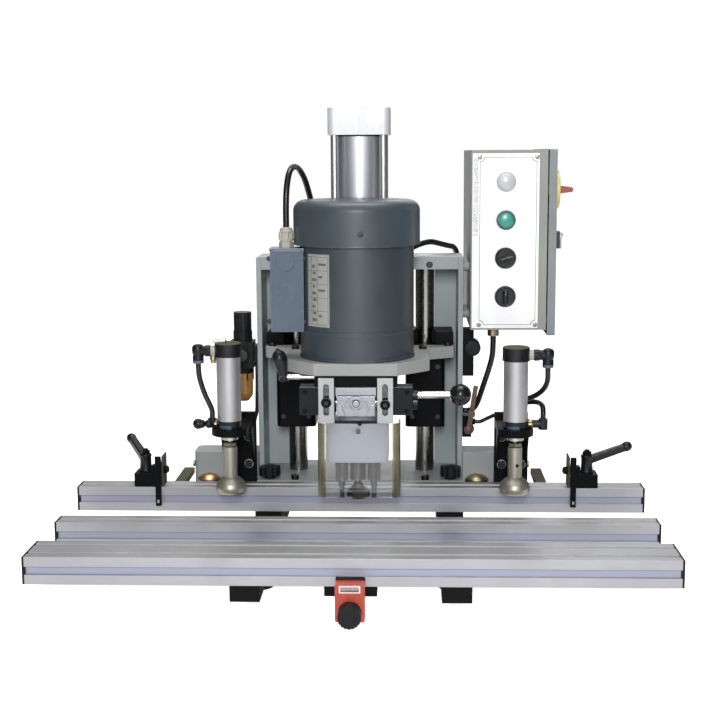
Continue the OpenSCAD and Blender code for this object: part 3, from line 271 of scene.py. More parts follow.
chrome_finish = drawn_metal("hard_chrome", (0.46, 0.455, 0.45), 0.2, ROUND_Z, height=0.000002)
black_steel = drawn_metal("blackened_steel", (0.03, 0.032, 0.038), 0.4, ALONG_X)
block_steel = enamel("block_steel", (0.015, 0.016, 0.020), 0.6, worn=(0.05, 0.05, 0.055), shine=0.1)
brass_finish = drawn_metal("brass", (0.62, 0.50, 0.27), 0.3, ALONG_X)
dome_finish = drawn_metal("old_brass", (0.34, 0.29, 0.17), 0.36, ROUND_Z)
copper_finish = drawn_metal("copper_nut", (0.50, 0.30, 0.17), 0.34, ROUND_Z)
die_finish = anodised("machined_die", (0.255, 0.26, 0.285), 0.34, ALONG_X, metal=0.8)
spindle_finish = drawn_metal("drill_steel", (0.085, 0.082, 0.075), 0.3, ROUND_Z)
cutter_finish = drawn_metal("cutter_steel", (0.05, 0.048, 0.04), 0.32, ROUND_Z)
window_finish = drawn_metal("window_frame", (0.55, 0.52, 0.53), 0.3, ALONG_X)
nameplate_finish = anodised("nameplate", (0.36, 0.37, 0.345), 0.45, ALONG_Z, metal=0.2)
dark_nut = drawn_metal("dark_nut", (0.16, 0.15, 0.13), 0.32, ROUND_Z)

motor_enamel = enamel("motor_enamel", (0.036, 0.048, 0.060), 0.38, worn=(0.11, 0.14, 0.15), shine=0.4)
cover_enamel = enamel("cover_enamel", (0.046, 0.061, 0.074), 0.38, worn=(0.14, 0.17, 0.18), shine=0.4)
terminal_enamel = enamel("terminal_enamel", (0.084, 0.112, 0.154), 0.4, worn=(0.2, 0.23, 0.27), shine=0.25)
# painted light: lighter copy of the terminal box paint for its top band, as lit from above
lid_light_enamel = enamel("terminal_top_painted_light", (0.20, 0.23, 0.285), 0.4, worn=(0.3, 0.33, 0.37), shine=0.3)
gearbox_enamel = enamel("gearbox_paint", (0.41, 0.43, 0.52), 0.45, worn=(0.5, 0.52, 0.56), shine=0.3)
frame_enamel = enamel("frame_enamel", (0.300, 0.342, 0.350), 0.45, worn=(0.42, 0.44, 0.44), shine=0.3)
plate_enamel = enamel("plate_enamel", (0.30, 0.31, 0.31), 0.45, peel=0.0006, peel_height=0.00008,
                      worn=(0.46, 0.47, 0.46), shine=0.3)
base_enamel = enamel("base_enamel", (0.290, 0.312, 0.315), 0.5, peel=0.0005, peel_height=0.00008,
                     worn=(0.36, 0.38, 0.38), shine=0.3)
box_enamel = enamel("box_enamel", (0.265, 0.278, 0.262), 0.5, worn=(0.38, 0.39, 0.38), shine=0.3)
door_enamel = enamel("door_enamel", (0.215, 0.233, 0.245), 0.48, worn=(0.38, 0.39, 0.39), shine=0.3)
black_enamel = enamel("black_enamel", (0.0045, 0.005, 0.006), 0.45, worn=(0.02, 0.022, 0.024), shine=0.05)
skid_enamel = enamel("skid_enamel", (0.010, 0.010, 0.010), 0.8, worn=(0.03, 0.03, 0.03), shine=0.04)
olive_enamel = enamel("olive_enamel", (0.085, 0.083, 0.058), 0.7, worn=(0.16, 0.155, 0.12), shine=0.08)

black_plastic = moulded("black_plastic", (0.008, 0.009, 0.010), 0.42, shine=0.14)
ball_plastic = moulded("polished_ball", (0.007, 0.008, 0.009), 0.16, height=0.000004, shine=0.32)
ball_black = moulded("gloss_black", (0.008, 0.009, 0.011), 0.28, height=0.00001, shine=0.24)
cream_plastic = moulded("cream_plastic", (0.40, 0.395, 0.34), 0.45, shine=0.3)
red_plastic = moulded("indicator_red", (0.43, 0.062, 0.036), 0.32, shine=0.4)
green_plastic = moulded("button_green", (0.03, 0.26, 0.21), 0.28)
yellow_plastic = moulded("disc_yellow", (0.66, 0.56, 0.17), 0.35)
grip_plastic = moulded("grip_red", (0.24, 0.03, 0.018), 0.35)
lever_coating = moulded("lever_coating", (0.095, 0.036, 0.02), 0.4)
lamp_lens = moulded("lamp_lens", (0.50, 0.52, 0.54), 0.24)
label_plastic = moulded("label_white", (0.88, 0.885, 0.90), 0.4, height=0.000004, drift=0.02, shine=0.3)
hose_finish = moulded("hose_black", (0.008, 0.008, 0.009), 0.26, texture=0.0012, height=0.00001, shine=0.35)
rubber_finish = moulded("foot_rubber", (0.02, 0.02, 0.02), 0.7, shine=0.2)
collar_plastic = moulded("collar_violet", (0.10, 0.095, 0.17), 0.4)
label_blue = moulded("blank_label", (0.03, 0.06, 0.09), 0.35)
rule_ink = moulded("dark_ink", (0.10, 0.10, 0.11), 0.5, height=0.000002)
digit_ink = moulded("digit_ink", (0.03, 0.03, 0.03), 0.5, height=0.000002)
drum_finish = moulded("counter_drum", (0.50, 0.45, 0.45), 0.4, height=0.000004)
bezel_green = moulded("bezel_green", (0.008, 0.05, 0.045), 0.3)
lamp_ring_finish = moulded("lamp_ring", (0.40, 0.41, 0.42), 0.35)
index_paint = moulded("index_line", (0.10, 0.10, 0.10), 0.45)


def shaded_groove_floor(name, low, high):
    """Anodised groove floor, painted darker and bluer than the rail face, with painted shade along both
    corners and a little darker towards its top; low and high are its edges in Z.
    """
    colour, corner_shade = (0.285, 0.297, 0.385), (0.08, 0.088, 0.115)
    material = anodised(name, colour, 0.5, ALONG_X)
    place = add_node(material, "ShaderNodeTexCoord")
    parts = add_node(material, "ShaderNodeSeparateXYZ")
    link(material, place.outputs["Object"], parts.inputs["Vector"])
    share = spread(material, parts.outputs["Z"], 0, 1, low * MM + TABLE.z, high * MM + TABLE.z)
    # painted shade: dark bands along both corners of the groove, the floor a little darker towards its top
    tone = ramp(material, share, [(0.0, corner_shade), (0.1, colour), (0.84, scaled(colour, 0.95)), (0.97, corner_shade)])
    drive(material, "Base Color", tone)
    return material


def speckled(name, pale, dark):
    """Printed sheet with fine dark specks."""
    material = new_material(name, pale, 0.5)
    fleck = speckle(material, 0.0011, EVEN, 3)
    drive(material, "Base Color", ramp(material, fleck, [(0.48, pale), (0.58, dark)]))
    relief(material, speckle(material, 0.0008), 0.00001)
    return material


speckled_label = speckled("speckled_label", (0.80, 0.80, 0.82), (0.38, 0.39, 0.42))


def clear(name, colour, roughness, tint, through=1.0):
    """Clear or tinted plastic; through is the share of light that passes."""
    material = new_material(name, colour, roughness)
    fix(material, "Transmission Weight", through)
    fix(material, "IOR", 1.45)
    haze = speckle(material, 0.008, EVEN, 3)
    drive(material, "Roughness", spread(material, haze, roughness, roughness + 0.06))
    drive(material, "Base Color", ramp(material, speckle(material, 0.03), [(0.3, colour), (0.7, tint)]))
    return material


guard_finish = clear("clear_guard", (0.96, 0.97, 0.97), 0.02, (0.93, 0.95, 0.94))
# painted shade: dark olive tint for the clear guard's rounded bends
bend_shade_finish = clear("guard_bend_painted_shade", (0.27, 0.24, 0.14), 0.12, (0.13, 0.115, 0.06), 0.55)
bowl_finish = clear("amber_bowl", (0.42, 0.22, 0.06), 0.2, (0.30, 0.15, 0.04), 0.5)


# Modelling by hand: every helper leaves one finished object with its place in its mesh

def deselect():
    bpy.ops.object.select_all(action="DESELECT")


def take(piece):
    deselect()
    piece.hide_set(False)
    piece.select_set(True)
    bpy.context.view_layer.objects.active = piece


def settle(piece):
    """Puts the object's own place and turn into its mesh."""
    take(piece)
    bpy.ops.object.transform_apply(location=True, rotation=True, scale=True)


def ease(piece, width, segments=2, angle=35):
    """Rounds every edge sharper than the angle."""
    take(piece)
    bevel = piece.modifiers.new("ease", "BEVEL")
    bevel.width = width
    bevel.segments = segments
    bevel.limit_method = "ANGLE"
    bevel.angle_limit = math.radians(angle)
    bevel.use_clamp_overlap = True
    bpy.ops.object.modifier_apply(modifier=bevel.name)


def shade(piece, angle=34):
    """Smooth shading up to the angle, with large faces kept flat."""
    take(piece)
    if piece.data.has_custom_normals:
        bpy.ops.mesh.customdata_custom_splitnormals_clear()
    bpy.ops.object.shade_smooth_by_angle(angle=math.radians(angle))
    even = piece.modifiers.new("even", "WEIGHTED_NORMAL")
    even.keep_sharp = True
    bpy.ops.object.modifier_apply(modifier=even.name)


def dress(piece, body, material):
    """Gives a finished piece its material and the body it moves with."""
    piece.data.materials.clear()
    piece.data.materials.append(material)
    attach(piece, body)


SIDES = {-1: "left", 1: "right"}
TURNS = {"up": (0, 0, 0), "down": (math.pi, 0, 0), "front": (math.pi / 2, 0, 0),
         "back": (-math.pi / 2, 0, 0), "right": (0, math.pi / 2, 0), "left": (0, -math.pi / 2, 0)}


def facing_front(turn):
    """Turn of a piece made along Z that looks to the front, rolled clockwise by the angle."""
    return (Euler((0, turn, 0)).to_matrix() @ Euler(TURNS["front"]).to_matrix()).to_euler()


def set_down(piece, spot, facing="up"):
    """Turns a piece made along Z to face a side, moves its foot to the spot, and settles it."""
    piece.rotation_euler = TURNS[facing] if isinstance(facing, str) else facing
    piece.location = at(*spot)
    settle(piece)
    return piece


def block(name, low, high, rounding=0.0, segments=2):
    """Box between two corners of the working frame, with its edges rounded."""
    deselect()
    middle = [(a + b) / 2 for a, b in zip(low, high)]
    bpy.ops.mesh.primitive_cube_add(size=MM, location=at(*middle))
    piece = bpy.context.object
    piece.name = name
    piece.scale = [b - a for a, b in zip(low, high)]
    settle(piece)
    if rounding:
        ease(piece, rounding * MM, segments)
        shade(piece)
    return piece


def close_up():
    """Merges doubled points, turns the faces outwards and leaves edit mode."""
    bpy.ops.mesh.select_all(action="SELECT")
    bpy.ops.mesh.remove_doubles(threshold=1e-6)
    bpy.ops.mesh.normals_make_consistent(inside=False)
    bpy.ops.object.mode_set(mode="OBJECT")


def turned(name, spot, facing, profile, sides=48, ring=False):
    """Lathe work: a disc drawn out ring by ring; profile holds (radius, height) pairs."""
    deselect()
    first, foot = profile[0]
    bpy.ops.mesh.primitive_circle_add(vertices=sides, radius=first * MM, location=(0, 0, foot * MM),
                                      fill_type="NOTHING" if ring else "NGON")
    piece = bpy.context.object
    piece.name = name
    settle(piece)
    bpy.ops.object.mode_set(mode="EDIT")
    bpy.ops.mesh.select_all(action="SELECT")
    steps = [*profile[1:], profile[0]] if ring else profile[1:]
    draw_out = bpy.ops.mesh.extrude_edges_move if ring else bpy.ops.mesh.extrude_region_move
    radius, height = first, foot
    for next_radius, next_height in steps:
        draw_out(TRANSFORM_OT_translate={"value": (0, 0, (next_height - height) * MM)})
        k = next_radius / radius
        bpy.ops.transform.resize(value=(k, k, 1), center_override=(0, 0, 0))
        radius, height = next_radius, next_height
    close_up()
    set_down(piece, spot, facing)
    shade(piece)
    return piece


def band(outer, inner, low, high):
    """Profile of a plain ring."""
    return [(outer, low), (outer, high), (inner, high), (inner, low)]


def dome(radius, foot, height, steps=6, flat=0.12):
    """Profile of a dome that ends in a small flat."""
    turns = [math.pi / 2 * k / steps for k in range(steps + 1)]
    return [(max(radius * math.cos(a), radius * flat), foot + height * math.sin(a)) for a in turns]


def hollowed(piece, cutter):
    """Cuts one shape out of another."""
    take(piece)
    cut = piece.modifiers.new("cut", "BOOLEAN")
    cut.operation = "DIFFERENCE"
    cut.solver = "EXACT"
    cut.object = cutter
    bpy.ops.object.modifier_apply(modifier=cut.name)
    bpy.data.objects.remove(cutter)
    shade(piece)
    return piece


def fused(name, *pieces):
    """Joins pieces into one object."""
    deselect()
    for piece in pieces:
        piece.select_set(True)
    bpy.context.view_layer.objects.active = pieces[0]
    if len(pieces) > 1:
        bpy.ops.object.join()
    pieces[0].name = name
    return pieces[0]


def repeated(name, master, spots, facing="up"):
    """Copies of a master made along Z at the world's origin, joined in one piece."""
    made = []
    for spot in spots:
        piece = master.copy()
        piece.data = master.data.copy()
        bpy.context.collection.objects.link(piece)
        made.append(set_down(piece, spot, facing))
    bpy.data.objects.remove(master)
    return fused(name, *made)


def socket_screw(radius, height=None):
    """Head of a socket screw along Z, at the world's origin."""
    height = height or radius * 0.9
    head = turned("screw", (0, 0, 0), "up", [(radius * 0.96, 0), (radius, 0.2), (radius, height - 0.5),
                                             (radius - 0.5, height)], 32)
    bpy.ops.mesh.primitive_cylinder_add(vertices=6, radius=radius * 0.52 * MM, depth=height * MM,
                                        location=at(0, 0, height))
    hollowed(head, bpy.context.object)
    return to_origin(head)


def slotted_screw(radius, height=1.2):
    """Pan head with a slot, along Z, at the world's origin."""
    head = turned("screw", (0, 0, 0), "up", [(radius, 0), (radius, height * 0.4),
                                             (radius * 0.85, height * 0.85), (radius * 0.5, height)], 24)
    slot = block("slot", (-radius * 2, -radius * 0.13, height * 0.5), (radius * 2, radius * 0.13, height * 2))
    hollowed(head, slot)
    return to_origin(head)


def to_origin(piece):
    piece.location = -TABLE
    settle(piece)
    return piece


def cut_plate(name, outline, thickness, holes=(), rounding=0.0):
    """Sheet cut to an outline in its own X and Y, made along Z at the world's origin."""
    curve = bpy.data.curves.new(name, "CURVE")
    curve.dimensions = "2D"
    curve.fill_mode = "BOTH"
    for loop in (outline, *holes):
        spline = curve.splines.new("POLY")
        spline.points.add(len(loop) - 1)
        for point, (x, y) in zip(spline.points, loop):
            point.co = (x * MM, y * MM, 0, 1)
        spline.use_cyclic_u = True
    curve.extrude = thickness / 2 * MM
    piece = bpy.data.objects.new(name, curve)
    bpy.context.collection.objects.link(piece)
    take(piece)
    bpy.ops.object.convert(target="MESH")
    piece = bpy.context.object
    piece.location.z = thickness / 2 * MM
    settle(piece)
    bpy.ops.object.mode_set(mode="EDIT")
    close_up()
    if rounding:
        ease(piece, rounding * MM, 2)
    shade(piece)
    return piece


def arc(x, y, radius, start, end, steps=8):
    """Points of an arc, angles in degrees."""
    turns = [math.radians(start + (end - start) * k / steps) for k in range(steps + 1)]
    return [(x + radius * math.cos(a), y + radius * math.sin(a)) for a in turns]


def rounded_outline(x, y, radius, steps=5):
    """Rectangle between two limits on each axis with round corners."""
    (x0, x1), (y0, y1) = x, y
    return [*arc(x1 - radius, y0 + radius, radius, -90, 0, steps),
            *arc(x1 - radius, y1 - radius, radius, 0, 90, steps),
            *arc(x0 + radius, y1 - radius, radius, 90, 180, steps),
            *arc(x0 + radius, y0 + radius, radius, 180, 270, steps)]


def softened(node, material, width=0.6, segments=2):
    """Copy of a solid with its edges rounded as made; it stands for the solid."""
    solid = nodes[node]
    piece = solid.copy()
    piece.data = solid.data.copy()
    piece.name = node + "_finished"
    piece.parent = None
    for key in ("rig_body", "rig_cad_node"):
        del piece[key]
    bpy.context.collection.objects.link(piece)
    take(piece)
    bpy.ops.object.mode_set(mode="EDIT")
    bpy.ops.mesh.select_all(action="SELECT")
    bpy.ops.mesh.remove_doubles(threshold=1e-6)
    bpy.ops.mesh.dissolve_limited(angle_limit=math.radians(0.4))
    bpy.ops.object.mode_set(mode="OBJECT")
    if piece.data.has_custom_normals:
        bpy.ops.mesh.customdata_custom_splitnormals_clear()
    if width:
        ease(piece, width * MM, segments)
    shade(piece)
    dress(piece, solid["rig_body"], material)
    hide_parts(node)
    return piece


def paint_faces(piece, material, test):
    """A second finish on the faces whose middle passes the test, in working millimetres."""
    piece.data.materials.append(material)
    last = len(piece.data.materials) - 1
    for face in piece.data.polygons:
        middle = (face.center - TABLE) / MM
        if test(middle, face.normal):
            face.material_index = last


# Cords: routes as in the solids, in millimetres of the working frame

CORD_RADIUS, LOOP_RADIUS, AIR_RADIUS = 0.0045, 0.004, 0.003

MOTOR_ROUTE = [
    (-102, 261, 417), (-102, 262, 445), (-101, 265, 473), (-98, 276, 496), (-93, 295, 505),
    (-87, 319, 501), (-80, 340, 485), (-74, 355, 460), (-68, 365, 432), (-61, 370, 405), (-50, 372, 380),
    (-36, 372, 360), (-15, 372, 350), (8, 372, 348), (32, 371, 354), (54, 372, 364), (74, 375, 376),
    (92, 386, 384), (110, 405, 387), (127, 432, 382), (141, 456, 377), (147, 468, 375), (152, 477, 369),
    (155, 483, 360), (158, 486, 351), (164, 487, 345), (169.7, 487, 345)]
CONTROL_ROUTE = [
    (209, 400, 240), (209, 400, 226), (208, 401, 208), (204, 402, 190), (198, 404, 170), (192, 408, 150),
    (187, 414, 133), (181, 421, 120), (171, 425, 115), (161, 425, 115)]
LEFT_LOOP = [
    (-237, 270, 219), (-237, 270, 210), (-236, 270, 196), (-232, 270, 180), (-227, 270, 166),
    (-222, 270, 155), (-218, 270, 144), (-218, 270, 133)]
RIGHT_LOOP = [
    (282, 270, 212.5), (282, 270, 204), (282, 273, 190), (278, 280, 177), (269, 290, 166),
    (256, 298, 158), (242, 303, 152), (231, 310, 148), (230, 320, 146), (238, 327, 145), (250, 326, 146),
    (261, 319, 149), (269, 307, 151), (274, 294, 151), (276, 280, 149), (276, 270, 143), (276, 270, 133)]
REGULATOR_HOSE = [
    (-164.5, 400, 200), (-164.5, 400, 180), (-164.5, 399, 160), (-165, 398, 140), (-166, 398, 118),
    (-171, 400, 98), (-174, 400, 80), (-174, 400, 60)]
VALVE_HOSE = [
    (181, 385, 105), (189, 385, 105), (203, 383, 112), (215, 378, 118), (225, 368, 118), (225, 355, 118)]


def smooth_line(points, steps=6):
    """Points along a curve through the route, tighter where the route turns."""
    line = []
    padded = [2 * points[0] - points[1], *points, 2 * points[-1] - points[-2]]
    for before, start, end, after in zip(padded, padded[1:], padded[2:], padded[3:]):
        for k in range(steps):
            t = k / steps
            line.append(0.5 * (2 * start + (end - before) * t
                               + (2 * before - 5 * start + 4 * end - after) * t ** 2
                               + (3 * start - before - 3 * end + after) * t ** 3))
    return [*line, points[-1]]


def lay_cord(name, route, radius, body, node):
    points = smooth_line([at(*spot) for spot in route])
    curve = bpy.data.curves.new(name, "CURVE")
    curve.dimensions = "3D"
    spline = curve.splines.new("POLY")
    spline.points.add(len(points) - 1)
    for target, point in zip(spline.points, points):
        target.co = (*point, 1)
    curve.bevel_depth = radius
    curve.bevel_resolution = 5
    curve.use_fill_caps = True
    cord = bpy.data.objects.new(name, curve)
    bpy.context.collection.objects.link(cord)
    curve.materials.append(hose_finish)
    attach(cord, body)
    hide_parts(node)


lay_cord("motor_cable_run", MOTOR_ROUTE, CORD_RADIUS, "press_head", "motor_cable")
lay_cord("control_cable_run", CONTROL_ROUTE, CORD_RADIUS, "frame", "control_cable")
lay_cord("left_clamp_hose", LEFT_LOOP, LOOP_RADIUS, "frame", "air_hoses")
lay_cord("right_clamp_hose", RIGHT_LOOP, LOOP_RADIUS, "frame", "air_hoses")
lay_cord("regulator_hose_run", REGULATOR_HOSE, AIR_RADIUS, "frame", "air_hoses")
lay_cord("valve_hose_run", VALVE_HOSE, AIR_RADIUS, "frame", "air_hoses")


# Floor, backdrop light and lamps

FLOOR_GLOW, AMBIENT = 0.83, 0.20
LAMP_AIM = Vector((0, 0, 0.35))


def add_flag(name, place, turn, width, height, tone):
    """Dim screen that only shows as a reflection, as beside a studio table."""
    bpy.ops.mesh.primitive_plane_add(size=1, location=place, rotation=turn)
    flag = bpy.context.object
    flag.name = name
    flag.scale = (width, height, 1)
    settle(flag)
    cloth = new_material(name + "_cloth", (0, 0, 0), 1.0)
    fix(cloth, "Specular IOR Level", 0)
    fix(cloth, "Emission Color", (*tone, 1))
    fix(cloth, "Emission Strength", 1)
    flag.data.materials.append(cloth)
    flag.visible_camera = False
    flag.visible_diffuse = False
    flag.visible_transmission = False
    flag.visible_shadow = False


def seen_share(tree):
    """1 for rays from the camera, off gloss and through glass, 0 for all others."""
    rays = tree.nodes.new("ShaderNodeLightPath")
    share = rays.outputs["Is Camera Ray"]
    for kind in ("Is Glossy Ray", "Is Transmission Ray"):
        either = tree.nodes.new("ShaderNodeMath")
        either.operation = "ADD"
        either.use_clamp = True
        tree.links.new(share, either.inputs[0])
        tree.links.new(rays.outputs[kind], either.inputs[1])
        share = either.outputs[0]
    return share


def set_stage():
    """Pale floor that keeps the shadow, and a white backdrop with a weaker soft light."""
    bpy.ops.mesh.primitive_plane_add(size=30, location=(0, 0, 0))
    floor = bpy.context.object
    floor.name = "floor"
    paint = new_material("floor_white", (0.9, 0.9, 0.9), 0.9)
    fix(paint, "Specular IOR Level", 0.1)
    fix(paint, "Emission Color", (1, 1, 1, 1))
    lit = add_node(paint, "ShaderNodeMath", operation="MULTIPLY")
    lit.inputs[1].default_value = FLOOR_GLOW
    link(paint, seen_share(paint.node_tree), lit.inputs[0])
    drive(paint, "Emission Strength", lit.outputs[0])
    floor.data.materials.append(paint)

    world = bpy.data.worlds.new("studio")
    bpy.context.scene.world = world
    world.use_nodes = True
    tree = world.node_tree
    background = tree.nodes["Background"]
    background.inputs["Color"].default_value = (1, 1, 1, 1)
    level = tree.nodes.new("ShaderNodeMix")
    level.inputs[2].default_value = AMBIENT
    level.inputs[3].default_value = 1
    tree.links.new(seen_share(tree), level.inputs[0])
    tree.links.new(level.outputs[0], background.inputs["Strength"])


def add_lamp(name, place, width, height, power, colour=(1, 1, 1)):
    """Soft rectangular lamp that looks at the machine."""
    light = bpy.data.lights.new(name, "AREA")
    light.color = colour
    light.shape = "RECTANGLE"
    light.size = width
    light.size_y = height
    light.energy = power
    lamp = bpy.data.objects.new(name, light)
    lamp.location = place
    lamp.rotation_euler = (LAMP_AIM - Vector(place)).to_track_quat("-Z", "Y").to_euler()
    bpy.context.collection.objects.link(lamp)


def set_lamps():
    add_lamp("key_front", (0.05, -3.1, 1.3), 0.45, 0.9, 68)
    add_lamp("fill_left", (-2.2, -1.6, 1.3), 1.0, 1.6, 2)
    add_lamp("fill_right", (2.2, -1.9, 1.0), 1.0, 1.2, 3.5)
    add_lamp("fill_back", (0.7, 2.6, 1.6), 1.6, 1.2, 8)
    add_lamp("top", (0.0, 0.1, 2.6), 1.8, 1.2, 47, (1, 0.98, 0.9))
    for side, tone in ((-1, (0.09, 0.087, 0.07)), (1, (0.045, 0.044, 0.036))):
        add_flag(SIDES[side] + "_flag", (side * 1.3, 1.05, 1.2), TURNS["right"], 2.4, 5.9, tone)


set_stage()
set_lamps()
bpy.context.scene.view_settings.view_transform = "Standard"


# Rails, skids and base

FENCE_Y, FENCE_TOP = 303, 18
RAIL_ROWS = {"table_rails": ((0, 166), 0), "fence_rail": ((FENCE_Y,), FENCE_TOP)}
RAIL_HALF, GROOVE_DEPTH, GROOVE_HALF, RAIL_HIGH = 432.5, 2.5, 5.5, 38


def add_rails():
    """Extruded rails: groove along the front with painted shade in its corners, and front-facing lips in the
    slots on top painted paler as painted light.
    """
    plugs = []
    for node, (fronts, top) in RAIL_ROWS.items():
        rail = softened(node, rail_finish, 0.5)
        middle = top - RAIL_HIGH / 2
        # groove floor with painted shade along its corners
        groove_shade_finish = shaded_groove_floor(node + "_groove", middle - GROOVE_HALF, middle + GROOVE_HALF)
        paint_faces(rail, groove_shade_finish, lambda p, n: n.y < -0.7 and abs(p.z - middle) < 5
                    and min(abs(p.y - y - GROOVE_DEPTH) for y in fronts) < 0.4)
        # painted light: front-facing lips inside the top slots painted paler
        paint_faces(rail, lip_light_finish, lambda p, n: n.y < -0.7 and -7 < p.z - top < -0.4
                    and min(abs(p.y - y) for y in fronts) > 3)
        for y in fronts:
            for s in SIDES:
                corners = sorted_corner(s * (RAIL_HALF - 2), s * (RAIL_HALF + 0.4), y + 0.6, y + 3,
                                        middle - 5.3, middle + 5.3)
                plugs.append(block("plug", *corners, 0.4))
    dress(fused("groove_plugs", *plugs), "frame", black_plastic)


def sorted_corner(x0, x1, y0, y1, z0, z1):
    """Low and high corner of a box whose X limits come in either order."""
    return (min(x0, x1), y0, z0), (max(x0, x1), y1, z1)


add_rails()
softened("rail_end_caps", black_plastic, 0.6)
softened("skid_bars", skid_enamel, 1.0)
softened("levelling_feet", rubber_finish, 1.0)
softened("fence_arms", olive_enamel, 0.8)

BASE_Y = 345
DOME_SPOTS = ((-238, 365), (183, 365))
COLUMN_X, COLUMN_Y = 102, 425


def add_base():
    base = softened("base_casting", base_enamel, 1.2, 3)
    for (x, y), finish in zip(DOME_SPOTS, (copper_finish, dome_finish)):
        paint_faces(base, finish, lambda p, n, x=x, y=y: p.y < 361.9 and 8.05 < p.z < 27.5
                    and math.hypot(p.x - x, p.y - y) < 19.2)
    paint_faces(base, black_steel, lambda p, n: p.z > 19.3 and abs(abs(p.x) - 102) < 7 and p.y < 360)
    paint_faces(base, black_steel, lambda p, n: p.z > 19.3 and abs(abs(p.x) - 140) < 7 and p.y > 466)
    for side, facing in SIDES.items():
        plug = turned(facing + "_box_plug", (side * 261.6, 366, 41), facing,
                      [(5.2, 0), (5.2, 2.2), (4.2, 3.2), (2, 3.6)], 24)
        dress(plug, "frame", dome_finish)


def add_star_knob(side):
    """Lobed hand knob with a domed cap, on its screw."""
    name = SIDES[side] + "_star_knob"
    knob = softened(name, black_plastic, 1.4, 3)
    cap = turned(name + "_cap", (side * 142, 359, 37.6), "up", dome(8, 0.3, 2.4), 32)
    dress(cap, knob["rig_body"], black_plastic)


def add_feet():
    master = to_origin(turned("ring", (0, 0, 0), "up", [(12.5, 0), (12.5, 2), (11, 4.5), (6, 5)], 32))
    ring = repeated("foot_collars", master, [(s * 140, y, -79.8) for s in SIDES for y in (180, 443)])
    dress(ring, "frame", steel_finish)


add_base()
add_feet()
for side in SIDES:
    add_star_knob(side)

# Frame

softened("frame_cheeks", frame_enamel, 1.0)
softened("guide_columns", column_finish, 1.0)


def add_top_bar():
    bar = softened("top_bar", frame_enamel, 1.0)
    paint_faces(bar, black_steel,
                lambda p, n: p.y < 389.2 and math.hypot(abs(p.x) - 108.5, p.z - 353) < 5.2)
    screws = repeated("top_bar_screws", socket_screw(6.5, 5),
                      [(s * 76, y, 365) for s in SIDES for y in (398, 452)])
    dress(screws, "frame", black_steel)


add_top_bar()

# Press cylinder

TIE_X = 37.5


def add_cylinder():
    caps = softened("cylinder_caps", cap_finish, 1.0)
    corners = [(x, COLUMN_Y + y, 586) for x in (-TIE_X, TIE_X) for y in (-TIE_X, TIE_X)]
    for spot in corners:
        hollowed(caps, turned("bore", spot, "up", [(8, 0), (8, 10)], 32))
    paint_faces(caps, tie_finish, lambda p, n: 395.5 < p.z < 551.5 and abs(n.z) < 0.5)
    shade(caps)
    softened("cylinder_barrel", barrel_finish, 0.4)
    softened("piston_rod", chrome_finish, 0.8)
    screws = repeated("cylinder_cap_screws", socket_screw(6.6, 6), corners)
    dress(screws, "frame", black_steel)
    plugs = repeated("cylinder_port_plugs", socket_screw(8, 3), [(0, 473, 572), (0, 473, 380)], "back")
    dress(plugs, "frame", brass_finish)
    seals = [turned("seal", (0, COLUMN_Y, z), "up", band(43.2, 42, -1, 1), 64, ring=True)
             for z in (396.2, 550.8)]
    dress(fused("barrel_seals", *seals), "frame", black_plastic)


add_cylinder()

# Press head

HEAD_Y = 281
PLATE_TOP = 227
MOTOR_SKIN = 84.75
CUP_TOP = 21
CHUCKS = (("centre", "main_drive", 0, HEAD_Y, 12),
          ("left", "left_drill", -24, HEAD_Y - 6, 9.5),
          ("right", "right_drill", 24, HEAD_Y - 6, 9.5))


def add_housings():
    housings = softened("bearing_housings", black_enamel, 4, 5)
    for x in (-COLUMN_X, COLUMN_X):
        hollowed(housings, block("front", (x - 17.5, 380, 227.5), (x + 17.5, 415, 250)))
    spots = [(s * COLUMN_X + x, 390, z) for s in SIDES for x in (-20, 20) for z in (112, 192)]
    screws = repeated("housing_screws", socket_screw(4.2, 2.4), spots, "front")
    dress(screws, "press_head", black_steel)


def add_plate():
    softened("carriage_plate", plate_enamel, 1.4, 3)
    screws = repeated("plate_screws", socket_screw(6, 5),
                      [(s * x, y, PLATE_TOP) for s in SIDES for x, y in ((98, 345), (137, 378))])
    dress(screws, "press_head", black_steel)


def add_motor():
    softened("motor_body", motor_enamel, 0.8)
    softened("motor_rotor", steel_finish, 0)
    cover = softened("fan_cover", cover_enamel, 0.4)
    radius, height = 93, 411
    heads = []
    for k in range(4):
        turn = math.radians(6) + k * math.pi / 2
        out = Vector((math.sin(turn), -math.cos(turn)))
        x, y = out * (radius + 10.4)
        bpy.ops.mesh.primitive_uv_sphere_add(segments=32, ring_count=16, radius=12 * MM,
                                             location=at(x, HEAD_Y + y, height))
        hollowed(cover, bpy.context.object)
        x, y = out * (radius - 1.8)
        heads.append(set_down(slotted_screw(3.6, 1.3), (x, HEAD_Y + y, height), (math.pi / 2, 0, turn)))
    dress(fused("cover_screws", *heads), "press_head", black_steel)
    lip = turned("cover_lip", (0, HEAD_Y, 392.6), "up",
                 [(93.2, 0), (93.4, 1.2), (92.9, 2.4), (91.5, 2.4), (91.5, 0)], 96, ring=True)
    dress(lip, "press_head", cover_enamel)
    foot = turned("motor_flange", (0, HEAD_Y, PLATE_TOP), "up",
                  [(85.3, 0.1), (85.3, 3), (84.6, 3.8), (83.5, 3.8), (83.5, 0.1)], 96, ring=True)
    dress(foot, "press_head", motor_enamel)


def wrapped(name, low, high, left, right, depth):
    """Strip bent round the motor between two heights and two bearings from the front, in degrees."""
    steps = max(2, round(abs(right - left) / 2))
    outline = [*arc(0, 0, MOTOR_SKIN + depth, left - 90, right - 90, steps),
               *arc(0, 0, MOTOR_SKIN, right - 90, left - 90, steps)]
    return set_down(cut_plate(name, outline, high - low), (0, HEAD_Y, low))


